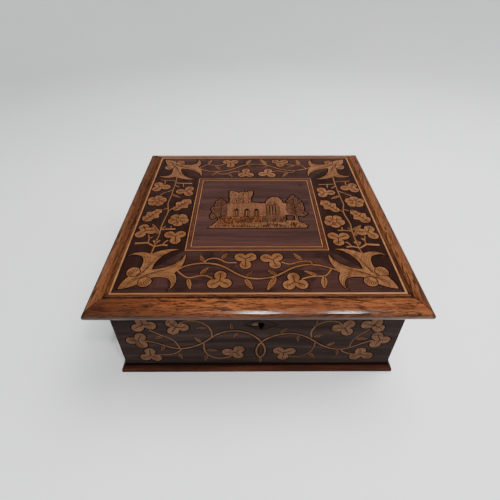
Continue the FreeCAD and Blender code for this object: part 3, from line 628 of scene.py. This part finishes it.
def shamrock_lines(ring, lines, side_veins):
    """A vein out from the heart of each lobe, with short side veins where asked for."""
    count = len(ring)
    notches = []
    for index, spot in enumerate(ring):
        before, after = spot - ring[index - 1], ring[(index + 1) % count] - spot
        if before.angle_signed(after, 0.0) > NOTCH:
            notches.append(index)
    heart = middle([ring[index] for index in notches])
    for first, last in zip(notches, notches[1:] + [notches[0] + count]):
        tip = max((ring[index % count] for index in range(first, last)), key=lambda spot: (spot - heart).length)
        axis = tip - heart
        lines.strip(ribbon(curve([heart + axis * 0.02, heart + axis * 0.4, heart + axis * 0.8]), 0.85, end=0.5))
        for share in side_veins:
            for way in (-1, 1):
                side = Vector((-axis.y, axis.x)) * way
                root = heart + axis * share
                lines.strip(ribbon([root, root + axis * 0.1 + side * 0.22], 0.42, end=0.5))


def rose_lines(ring, lines):
    """Petal lines from the eye of a rose to the dips in its rim."""
    heart = middle(ring)
    reach = [(spot - heart).length for spot in ring]
    count = len(ring)
    dips = [i for i in range(count) if reach[i] <= reach[i - 1] and reach[i] < reach[(i + 1) % count]]
    for index in dips:
        axis = ring[index] - heart
        side = Vector((-axis.y, axis.x)) * 0.06
        lines.strip(ribbon(curve([heart + axis * 0.28, heart + axis * 0.62 + side, ring[index]]), 0.9, start=0.6))
        middle_way = ring[(index + count // (2 * len(dips))) % count] - heart
        for lean in (-0.16, 0.0, 0.16):
            turn = Vector((middle_way.x - lean * middle_way.y, middle_way.y + lean * middle_way.x))
            lines.strip(ribbon([heart + turn * 0.34, heart + turn * 0.78], 0.5, end=0.4))
    eye = [heart + Vector(spot) * ROSE_EYE for spot in circle(EYE_CUTS)]
    lines.strip(ribbon(eye, 0.6, True))


def leaf_lines(ring, lines):
    """Midrib of a lobed leaf with veins to its lobes."""
    pairs = ((a, b) for a in ring for b in ring)
    base, tip = max(pairs, key=lambda pair: (pair[0] - pair[1]).length)
    axis = tip - base
    side = Vector((-axis.y, axis.x))
    lines.strip(ribbon([base, base + axis * 0.96], 1.0, end=0.5))
    for share in LEAF_VEINS:
        for way in (-1, 1):
            root = base + axis * share
            lines.strip(ribbon([root, root + axis * 0.11 + side * way * 0.17], 0.6, end=0.5))


for name in lid_inlays + front_inlays:
    front = name in front_inlays
    faces, dark, lines = (front_faces, front_kerf, front_lines) if front else (lid_faces, lid_kerf, lid_lines)
    loops = show_loops(name, front)
    holes = [ring for ring in loops if area(ring) < 0]
    for ring in (ring for ring in loops if area(ring) > 0):
        gaps = holes if "vine" in name else []
        inlaid(faces, dark, [ring] + gaps, rng.uniform(0, 180))
        if "shamrock" in name:
            shamrock_lines(ring, lines, () if front else SIDE_VEINS)
        elif "rose" in name:
            rose_lines(ring, lines)
        elif "oak" in name:
            leaf_lines(ring, lines)

# Engraved ribs of the corner fronds, drawn on one half and mirrored
FROND_RIBS = (
    ((110, 110), (103, 100), (99.5, 90), (99.8, 81), (103.5, 74.5), (109, 71.4), (115.4, 73.2)),
    ((106, 106), (101, 98), (97.8, 89), (97.9, 80), (100.5, 74), (105, 70.8), (111, 70.2)),
    ((102, 102), (98.8, 95), (96.4, 87), (96.2, 79), (97.6, 73.8)),
    ((104, 102), (98, 93), (94.6, 84), (91, 76.5), (84, 70.4), (75.5, 66.9)),
    ((101, 100), (96.4, 90), (93.4, 82), (88.8, 74.6), (82, 69.2), (74.6, 66.2)),
    ((99.4, 97), (94.6, 87.5), (90.8, 79.8), (86, 73.8), (79, 68.8)),
    ((113, 111), (107, 105), (102.4, 102.4)),
)
BARBS = [((a, 76.2 - 0.09 * (a - 104) ** 1.2), (a + 1.5, 74.6 - 0.05 * (a - 104))) for a in (105, 107, 109, 111, 113)]
FAN_TURNS = [math.radians(turn) for turn in range(-92, 24, 13)]
FAN = [[(103.2 + reach * math.cos(a), 98.6 + reach * math.sin(a)) for reach in (4.2, 9.0)] for a in FAN_TURNS]
FROND_RIM = ((102.8, 91.6), (101.6, 95.5), (104.4, 100.4), (110, 101))
for x_way in (-1, 1):
    for y_way in (-1, 1):
        for swapped in (False, True):
            def corner(spot):
                across, along = spot[::-1] if swapped else spot
                return (x_way * across, y_way * along)

            for rib in FROND_RIBS:
                lid_lines.strip(ribbon(curve([corner(spot) for spot in rib]), 0.45, start=0.6, end=0.7))
            for barb in BARBS:
                lid_lines.strip(ribbon([corner(spot) for spot in barb], 0.5))
            for line in FAN:
                lid_lines.strip(ribbon([corner(spot) for spot in line], 0.7, start=0.5))
            lid_lines.strip(ribbon(curve([corner(spot) for spot in FROND_RIM]), 0.7))


def spray(pieces, dark, lines, turn, twigs, leaves):
    """Thin stems and leaflets that join the larger motifs."""
    for points, width, end in twigs:
        line = curve([turn(spot) for spot in points])
        dark.strip(ribbon(line, width + KERF_WIDTH * 0.5, end=end))
        pieces.strip(ribbon(line, width, end=end))
    for base, tip, width in leaves:
        base, tip = turn(base), turn(tip)
        ring = leaf(base, tip, width)
        heading = Vector(tip) - Vector(base)
        pieces.add([ring], math.degrees(math.atan2(heading.y, heading.x)))
        dark.strip(ribbon(ring, KERF_WIDTH * 0.5, True))
        lines.strip(ribbon([base, Vector(base) + heading * 0.85], 0.6, end=0.5))
        across = Vector((-heading.y, heading.x)).normalized() * width * 0.22
        for share in DOT_ROWS:
            for way in (-1, 1):
                dot = Vector(base) + heading * (share + 0.05 * way) + across * way
                lines.strip(ribbon([dot, dot + heading.normalized() * 0.9], 0.55))


BORDER_TWIGS = (
    (((-47, -83.6), (-45.9, -81), (-42.8, -78.6), (-37.8, -77.8), (-32.8, -79.8), (-27.1, -83.6),
      (-18.5, -83.8)), 1.5, 1),
    (((-70.3, -93.1), (-65.3, -98.6), (-59, -102.8), (-50.3, -100.4), (-44, -100.4), (-38.5, -103.8)), 1.5, 1),
    (((48.5, -86.6), (48.1, -83.4), (45, -81.9), (37.5, -82.8), (28.8, -85.8), (21.5, -83.2)), 1.5, 1),
    (((64.5, -91.6), (61.4, -97.3), (56.9, -101), (50, -101), (42.5, -102.5), (37.3, -104.8)), 1.5, 1),
)
BORDER_LEAVES = (
    ((-47.6, -83), (-52.2, -73.4), 3.6),
    ((-32.3, -79), (-27, -70.4), 3.6),
    ((-49.8, -99.6), (-42.7, -89.2), 3.8),
    ((-59.2, -103.4), (-55.8, -116.4), 3.8),
    ((-10.8, -103.6), (-4.4, -116.6), 4.6),
    ((-9.6, -101.5), (-4.4, -94.8), 3),
    ((40.6, -81.6), (33.2, -70.8), 3.8),
    ((52.2, -101), (40.2, -94.4), 4),
    ((57, -101.2), (54.5, -115.8), 5.4),
    ((15.6, -101.4), (7.6, -117.6), 5.2),
    ((17.2, -99.6), (8.6, -93.8), 3.2),
)
for way in (1, -1):
    spray(lid_sprays, lid_kerf, lid_lines, lambda spot: (spot[0], spot[1] * way), BORDER_TWIGS, BORDER_LEAVES)

SIDE_TWIGS = (
    (((-97, -72), (-96.2, -61), (-95.6, -50), (-94.8, -42), (-95.2, -30), (-94, -16), (-92.8, -5), (-94, 4),
      (-95.5, 12), (-95, 22), (-94.6, 30), (-94, 49), (-94, 60), (-94.5, 71)), 1.5, 1),
    (((-96.2, -61), (-100, -58.3), (-103.5, -55.6), (-108, -55.8), (-115.5, -56.4)), 1.8, 1.7),
    (((-103.6, -55.4), (-103.4, -50), (-105.2, -43)), 1.4, 0.9),
    (((-103.4, -49.4), (-100.8, -46.4)), 1.6, 1.2),
    (((-96.2, -61), (-90, -58.8), (-84, -59.2)), 1.6, 1.6),
    (((-89, -58.4), (-86.8, -53.6), (-84.6, -52)), 1.5, 1.2),
    (((-96, -57), (-98.6, -52)), 1.4, 1.6),
    (((-96, -57), (-92.6, -51.6)), 1.4, 1.6),
    (((-94.5, -35.5), (-90, -34), (-80.5, -33.8)), 1.6, 1.5),
    (((-85.2, -33.8), (-85.4, -28.6)), 1.5, 1),
    (((-94.4, -33.5), (-91.2, -29.4)), 1.3, 1),
    (((-113, 64), (-106, 62.4), (-99, 62.8), (-94.4, 60)), 1.5, 0.8),
    (((-107.5, 62.4), (-106.4, 56), (-108, 53)), 1.3, 1),
    (((-94, 57), (-88, 55.8), (-74.5, 55.2)), 1.5, 1.6),
    (((-84.6, 55), (-83.4, 47)), 1.4, 1),
    (((-93.6, 51.5), (-88, 46.6)), 1.5, 1),
    (((-107.8, 30.2), (-103, 34), (-95, 40.5)), 1.4, 1),
    (((-94, 3.4), (-98.6, 0.6)), 1.4, 1),
    (((-93, -3), (-89, 3)), 1.3, 1),
)
SIDE_LEAVES = (
    ((-94.6, -44), (-105.3, -24.3), 4.2),
    ((-96.2, -58), (-96.2, -49.5), 3.4),
    ((-95.6, 31.4), (-83.2, 23.8), 3.6),
    ((-104.6, 33.4), (-99, 37.6), 3),
)
RIGHT_SHIFT = -3.0
spray(lid_sprays, lid_kerf, lid_lines, lambda spot: spot, SIDE_TWIGS, SIDE_LEAVES)
spray(lid_sprays, lid_kerf, lid_lines, lambda spot: (-spot[0], spot[1] + RIGHT_SHIFT), SIDE_TWIGS[1:], SIDE_LEAVES)
RIGHT_STEM = (((97, -73), (95.4, -65), (94.7, -54), (94.4, -38), (95, -25), (92.6, -8), (93.6, 2), (95.4, 10),
               (95, 20), (94.6, 28), (94, 47), (94, 58), (94.5, 69)), 1.5, 1)
spray(lid_sprays, lid_kerf, lid_lines, lambda spot: spot, (RIGHT_STEM,), (((95, -37), (103.8, -28.6), 3.2),))

FRONT_TWIGS = (
    (((-41, 51), (-40.5, 57), (-42, 63), (-45, 68), (-50, 71.5), (-57, 73.5), (-64, 72), (-69, 68)), 1.7, 1),
    (((48.5, 49.5), (47.5, 57), (49, 63), (52, 67.5), (57, 71), (63, 72.5), (70, 70.5), (74, 66)), 1.7, 1),
    (((-48.5, 42.5), (-49, 36), (-48.5, 29), (-46, 23), (-41, 19), (-35, 17.5), (-28, 19), (-23.5, 22.5)), 1.7, 1),
    (((52.5, 42.5), (52, 35), (50, 29), (47, 24.5), (42, 21), (36, 19.8), (30, 20.6)), 1.7, 1),
    (((-71.5, 34.2), (-73, 40), (-76, 46), (-81, 50.5), (-88, 55), (-95, 61)), 1.7, 1),
    (((85, 34.4), (85.5, 42), (88, 49), (93, 55), (98, 61)), 1.7, 1),
    (((-69, 34), (-72, 29.5), (-77, 25.5), (-83, 23.5), (-93, 23.5)), 1.7, 1),
    (((77, 32), (80, 28), (85, 25), (91, 24)), 1.7, 1),
    (((51, 66), (50.8, 73)), 1.8, 1.2),
)
FRONT_LEAVES = (
    ((-44, 63.8), (-54.4, 63), 3.2), ((-50.4, 42.6), (-56.8, 50.4), 3.8), ((-22, 60.8), (-23.4, 70.4), 3),
    ((-17, 57.4), (-21.6, 49.2), 3.4), ((-48, 30.4), (-36.4, 29.8), 3.8), ((-47, 24), (-49.4, 12.6), 3.4),
    ((-74, 27), (-70.4, 16), 3.8), ((-85.6, 37.6), (-89, 28.8), 3.6), ((-83.6, 52.6), (-92, 48), 3.6),
    ((20, 56), (26, 63.4), 3.4), ((36, 53.6), (37, 43.4), 2.8), ((50, 49.8), (58.4, 54.4), 3.6),
    ((63.4, 36.6), (70.4, 42.8), 3.4), ((48.4, 26.6), (55, 16.6), 4), ((74, 31.4), (76, 21.4), 3.2),
    ((87.4, 47.6), (100, 47.6), 4.2), ((3, 18.4), (3, 9.8), 3.2),
)
spray(front_sprays, front_kerf, front_lines, lambda spot: spot, FRONT_TWIGS, FRONT_LEAVES)

# Ruined abbey of the centre panel: pieces, windows and engraved hatching, each layer a hair above the last
abbey = Drawing("abbey_face", lid_at, FACE, woods["picture"], "lid", "lid_inlay")
abbey_ground = Drawing("abbey_ground", lid_at, FACE + 0.004, woods["ground_strip"], "lid", "lid_inlay")
abbey_bushes = Drawing("abbey_bushes", lid_at, FACE + 0.007, woods["bushes"], "lid", "lid_inlay")
abbey_trees = Drawing("abbey_trees", lid_at, FACE + 0.010, woods["foliage"], "lid", "lid_inlay")
abbey_dark = Drawing("abbey_windows", lid_at, LINE + 0.034, kerf, "lid", "side_ground")
abbey_light = Drawing("abbey_mullions", lid_at, LINE + 0.068, woods["ground_strip"], "lid", "lid_inlay")
abbey_rings = show_loops("lid_vignette_inlay", False)
abbey_outline = next(ring for ring in abbey_rings if area(ring) > 0)
abbey_gap = [ring for ring in abbey_rings if area(ring) < 0]
abbey.add([abbey_outline] + abbey_gap)
for ring in abbey_rings:
    lid_kerf.strip(ribbon(ring, ABBEY_JOINT, True))


def inside(spot, ring):
    hit = False
    for a, b in zip(ring, ring[1:] + ring[:1]):
        if (a[1] > spot[1]) != (b[1] > spot[1]):
            if spot[0] < a[0] + (b[0] - a[0]) * (spot[1] - a[1]) / (b[1] - a[1]):
                hit = not hit
    return hit


def hatched(ring, count, length, width, lean):
    """Short engraved strokes spread over an area."""
    xs, ys = [spot[0] for spot in ring], [spot[1] for spot in ring]
    for _ in range(count):
        foot = Vector((rng.uniform(min(xs), max(xs)), rng.uniform(min(ys), max(ys))))
        head = foot + Vector((rng.uniform(-lean, lean), length * rng.uniform(0.5, 1.3)))
        if all(inside(spot, ring) and inside(spot, abbey_outline) for spot in (foot, head)):
            if not any(inside(spot, gap) for gap in abbey_gap for spot in (foot, head)):
                lid_lines.strip(ribbon([foot, head], width, start=0.5))


GROUND = ((-47.4, -32), (49.8, -32), (51.8, -29), (49, -25), (44, -22.6), (34, -22.4), (24, -24), (12, -23.2),
          (0, -24.6), (-12, -24), (-20, -26.4), (-32, -26), (-40, -27), (-46.8, -29))
LEFT_TREE = ((-30.4, -16), (-38.4, -19), (-40.2, -13), (-45.8, -16), (-47.6, -11), (-45.2, -4), (-47.6, 1.5),
             (-44.2, 6), (-43.2, 13), (-38, 22), (-31.8, 11.8), (-30, 2))
RIGHT_TREE = ((33.8, 12.4), (37.2, 22), (41.5, 29.4), (44.2, 24), (49.2, 17), (51.6, 4), (50.2, -2.5), (53.4, -8),
              (50, -11.6), (46, -9.6), (43.2, -12), (40.8, -10.6), (33, -9.4), (31.4, 2))
BUSHES = ((-40.6, -26), (-37.4, -19), (-34, -15.4), (-26, -12.6), (-18, -14.2), (-10, -11.8), (-2, -13.6),
          (5.4, -12.4), (6, -24), (-12, -24), (-20, -26.2))
TUFTS = (
    (-38, 19.6, 2.4), (-35.4, 15.4, 2.4), (-40.8, 15, 2.6), (-42, 10, 2.6), (-33.4, 10.8, 2.2), (-44.6, 2.6, 3.0),
    (-41.6, 5.6, 2.6), (-43.4, -3, 2.6), (-44.8, -11, 3.0), (-45, -14.4, 2.4), (-40.6, -10.6, 2.4),
    (41.6, 26.2, 2.4), (39, 21.4, 2.6), (44.2, 21.6, 2.6), (36.4, 16.4, 2.6), (47.2, 16.6, 2.8), (48.8, 10.6, 2.8),
    (49.2, 3.6, 2.8), (48.2, -2.4, 2.8), (51, -7, 3.2), (48, -9.8, 2.6), (44.6, -8.6, 2.4), (35, 11.4, 2.4),
)
WALL = ((6.4, -23.6), (6.4, -13.4), (30.6, -13.4), (30.6, -22.8))
TOWER = ((-29, 12), (-3, 12), (-3, 37), (-29, 37))
STONEWORK = ((-30, -13), (31, -13), (31, 25), (-30, 25))
NAVE_WINDOWS = (-20.6, -9.6, 0.4)
LANCETS = (13.2, 16.3, 19.4, 22.4)
LANCET_HOOD = ((12, 9), (14, 12.6), (17.8, 15), (21.6, 12.6), (23.4, 9))
TOWER_SLIT = ((-21.6, 15.6), (-20.6, 15.6), (-20.6, 19.4), (-21.1, 20), (-21.6, 19.4))
abbey_ground.add([GROUND])
abbey_bushes.add([rounded(BUSHES, 60)])
abbey_trees.add([WALL])
TUFT_CUTS = 14


def clump(x, y, size):
    """Small uneven tuft of leaves with its dark joint."""
    ring = []
    for cosine, sine in circle(TUFT_CUTS):
        reach = size * rng.uniform(0.86, 1.14)
        ring.append((x + reach * cosine, y + reach * sine))
    lid_kerf.strip(ribbon(ring, TUFT_JOINT, True))
    abbey_trees.add([rounded(ring, 90, 2)])


for tree in (LEFT_TREE, RIGHT_TREE):
    abbey_trees.add([tree])
for x, y, size in TUFTS:
    clump(x, y, size)
hatched(GROUND, 320, 2.8, 0.6, 0.5)
hatched(LEFT_TREE, 320, 1.5, 0.55, 1.0)
hatched(RIGHT_TREE, 380, 1.5, 0.55, 1.0)
hatched(BUSHES, 420, 1.8, 0.6, 1.8)
hatched(WALL, 70, 4.0, 0.45, 0.1)
hatched(TOWER, 130, 2.4, 0.42, 0.1)
hatched(STONEWORK, 420, 1.1, 0.42, 0.4)


def arch(x, low, high, width):
    """Upright window opening with a pointed head."""
    half = width / 2
    return [(x - half, low), (x + half, low), (x + half, high - width * 0.8), (x + half * 0.62, high - width * 0.3),
            (x, high), (x - half * 0.62, high - width * 0.3), (x - half, high - width * 0.8)]


for x in NAVE_WINDOWS:
    abbey_dark.strip(ribbon(arch(x, -12, 2, 5), 0.5, True))
    abbey_dark.add([arch(x, -11.6, 1.6, 4.4)])
    abbey_light.strip(ribbon([(x, -11.6), (x, -1.4)], 1.3))
    for way in (-1, 1):
        abbey_light.strip(ribbon([(x + way * 1.7, -11.6), (x + way * 1.7, -2)], 0.7))
for x in LANCETS:
    abbey_dark.strip(ribbon(arch(x, -10.4, 10.4, 2.7), 0.55, True))
    abbey_light.strip(ribbon([(x, -10), (x, 9)], 1.1, end=0.6))
abbey_dark.strip(ribbon(curve(LANCET_HOOD), 0.4))
abbey_dark.add([TOWER_SLIT])
ABBEY_LINES = (
    (((-13.6, 12.4), (-13.8, 35)), 0.5),
    (((-7.6, 12.6), (-8, 35)), 0.35),
    (((-28.4, 12.4), (-4.8, 13.2)), 0.4),
    (((-4.8, 14.4), (10.6, 12.2)), 0.35),
    (((-30, -12.8), (31, -13.2)), 0.55),
    (((6.4, -14), (6.4, -21.6)), 0.4),
    (((30.6, -9.6), (30.8, -21.4)), 0.45),
    (((11, 11.6), (11.2, -12.6)), 0.4),
    (((25, 9), (25, -12.6)), 0.4),
    (((42, -20.8), (42, -11), (41.6, -2), (42, 9), (41.5, 22)), 0.6),
    (((-37, -18), (-36.6, -6), (-37.4, 6), (-37.8, 16)), 0.5),
    (((40.6, -12.4), (38.2, -15), (37.6, -17)), 0.7),
)
for line, width in ABBEY_LINES:
    lid_lines.strip(ribbon(line, width))

# Dark joints on both sides of each string
for name in ("lid_outer_string", "lid_frame_string", "lid_inner_string"):
    for ring in show_loops(name, False):
        lid_kerf.strip(ribbon(ring, STRING_JOINT, True))

# Joint round the dark lozenge, a pale chip in it, the black gap under the chip and a crack in the veneer
CHIP = ((-5.4, 68.6), (-4.2, 66.5), (0.4, 66.2), (0.2, 70.5), (-2.4, 70.3))
CHIP_GAP = ((-12.0, 67.0), (0.6, 64.5), (0.6, 66.1))
CRACK = ((6.2, 66.0), (13, 65.4), (21, 63.4), (28, 62.6))
chip = Drawing("lozenge_chip", front_at, FACE, woods["front_inlay"], "carcase", "case_inlay")
chip.add([CHIP])
for ring in show_loops("escutcheon", True):
    front_kerf.strip(ribbon(ring, STRING_JOINT, True))
front_kerf.add([CHIP_GAP])
front_kerf.strip(ribbon(curve(CRACK), 0.45, end=0.4))

# Countersunk screw heads of the hinges, lock and strike, with painted shade in dark rims round the heads and dark
# slots: heights in metres, the rest in millimetres
CASE_LEAF = 0.0885
LID_LEAF = 0.0887
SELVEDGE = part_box("lock_case")[1].z
STRIKE = 0.0900
HINGE_MIDDLE, HINGE_SCREW, HINGE_ROW = 70, 12, 120.4
LOCK_MIDDLE, LOCK_SCREW, LOCK_ROW = 3, 28.5, -120.0
SCREW_RIM, SCREW_HEAD, SCREW_SLOT, SLOT_WIDTH = 2.2, 2.0, 1.9, 0.55
RIM_LIFT, HEAD_LIFT, SLOT_LIFT = 0.01, 0.03, 0.05
screw_ring = circle(28)
hinge_spots = [(side * HINGE_MIDDLE + end * HINGE_SCREW, HINGE_ROW) for side in (-1, 1) for end in (-1, 1)]
lock_spots = [(LOCK_MIDDLE + end * LOCK_SCREW, LOCK_ROW) for end in (-1, 1)]
for name, height, way, spots, body in (
    ("case_leaf", CASE_LEAF, 1, hinge_spots, "carcase"),
    ("lid_leaf", LID_LEAF, -1, hinge_spots, "lid"),
    ("selvedge", SELVEDGE, 1, lock_spots, "carcase"),
    ("strike", STRIKE, -1, lock_spots, "lid"),
):
    rim_shades = Drawing(f"{name}_screw_rim_shades", level_at(height, way), RIM_LIFT, recess_shade, body, "lock_iron")
    heads = Drawing(f"{name}_screw_heads", level_at(height, way), HEAD_LIFT, brass, body, "hardware_brass")
    slots = Drawing(f"{name}_screw_slots", level_at(height, way), SLOT_LIFT, recess_shade, body, "lock_iron")
    for x, y in spots:
        turn = rng.uniform(0, math.pi)
        rim_shades.add([[(x + SCREW_RIM * c, y + SCREW_RIM * s) for c, s in screw_ring]])
        heads.add([[(x + SCREW_HEAD * c, y + SCREW_HEAD * s) for c, s in screw_ring]])
        reach = Vector((math.cos(turn), math.sin(turn))) * SCREW_SLOT
        slots.strip(ribbon([Vector((x, y)) - reach, Vector((x, y)) + reach], SLOT_WIDTH))
    for drawing in (rim_shades, heads, slots):
        drawing.build()

for drawing in (lid_kerf, lid_faces, lid_sprays, lid_lines, front_kerf, front_faces, front_sprays, front_lines,
                abbey, abbey_ground, abbey_bushes, abbey_trees, abbey_dark, abbey_light, chip):
    drawing.build()


# Pale studio floor, turned up into a wall all round
FLOOR_RINGS = (0.02, 0.4)
FLOOR_REACH = 1.1
RIM_RADIUS = 0.7
RIM_TOP = 1.5
ROUND_CUTS = 96
BEND_CUTS = 16


def studio_floor():
    """Round floor of pale paper whose rim bends up into the wall, with painted shade growing with distance from the
    middle.
    """
    profile = [(reach, 0.0) for reach in (*FLOOR_RINGS, FLOOR_REACH)]
    for cut in range(1, BEND_CUTS + 1):
        turn = math.pi / 2 * cut / BEND_CUTS
        profile.append((FLOOR_REACH + RIM_RADIUS * math.sin(turn), RIM_RADIUS * (1 - math.cos(turn))))
    profile.append((FLOOR_REACH + RIM_RADIUS, RIM_TOP))
    points, faces = [], []
    for reach, height in profile:
        for cosine, sine in circle(ROUND_CUTS):
            points.append((reach * cosine, reach * sine, height))
    for ring in range(len(profile) - 1):
        for cut in range(ROUND_CUTS):
            after = (cut + 1) % ROUND_CUTS
            low, high = ring * ROUND_CUTS, (ring + 1) * ROUND_CUTS
            faces.append((low + cut, high + cut, high + after, low + after))
    faces.append(list(range(ROUND_CUTS)))
    mesh = bpy.data.meshes.new("studio_floor")
    mesh.from_pydata(points, [], faces)
    for face in mesh.polygons:
        face.use_smooth = True
    sh = Shader("studio_paper")
    place = sh.coords("Object")
    tone = sh.ramp(sh.noise(place, 3, 3), (0.3, lin(244, 245, 246)), (0.7, lin(250, 250, 250)))
    away = sh.add("VectorMath", {0: place}, 1, operation="LENGTH")
    # Painted shade: the paper grows darker with distance from the middle, where the lamps light it less.
    painted_shade = sh.ramp(away, (0.2, 1.0), (0.95, 0.78))
    mesh.materials.append(sh.finish(sh.mix(1.0, tone, painted_shade, "MULTIPLY"), 0.75))
    item = bpy.data.objects.new("studio_floor", mesh)
    scene.collection.objects.link(item)


studio_floor()


def area_light(name, place, aim, size, power, mirrored=True):
    """Soft box; one that isn't mirrored lights the box without showing in its polish."""
    lamp = bpy.data.lights.new(name, "AREA")
    lamp.shape = "RECTANGLE"
    lamp.size, lamp.size_y = size
    lamp.energy = power
    item = bpy.data.objects.new(name, lamp)
    item.location = place
    item.visible_glossy = mirrored
    item.rotation_euler = (Vector(aim) - Vector(place)).to_track_quat("-Z", "Y").to_euler()
    scene.collection.objects.link(item)


area_light("overhead_box", (0.42, 0.3, 1.2), (0.05, 0, 0), (1.0, 0.8), 21, False)
area_light("left_window", (0.03, -0.74, 1.28), (0.0, -0.13, 0.1), (0.1, 0.1), 7)
area_light("right_window", (0.42, -0.74, 1.28), (0.1, -0.13, 0.1), (0.1, 0.1), 5)
area_light("right_box", (1.2, 0.1, 0.8), (0, 0, 0.05), (0.7, 0.6), 7, False)
area_light("front_fill", (0.2, -1.5, 0.9), (0, 0, 0.0), (1.6, 0.8), 2.5, False)

world = bpy.data.worlds.new("studio")
world.use_nodes = True
sky = world.node_tree.nodes["Background"]
sky.inputs["Color"].default_value = lin(232, 235, 240)
sky.inputs["Strength"].default_value = 0.36
scene.world = world

# Camera fitted to the photograph: lens and sensor in millimetres, place in metres and heading
LENS, SENSOR = 26.29, 36.0
CAMERA_PLACE = (-0.00734, -0.32450, 0.32084)
CAMERA_HEADING = (0.00256, 0.76252, -0.64696)
lens = bpy.data.cameras.new("camera")
lens.lens = LENS
lens.sensor_width = SENSOR
camera = bpy.data.objects.new("camera", lens)
camera.location = CAMERA_PLACE
camera.rotation_euler = Vector(CAMERA_HEADING).to_track_quat("-Z", "Y").to_euler()
scene.collection.objects.link(camera)
scene.camera = camera
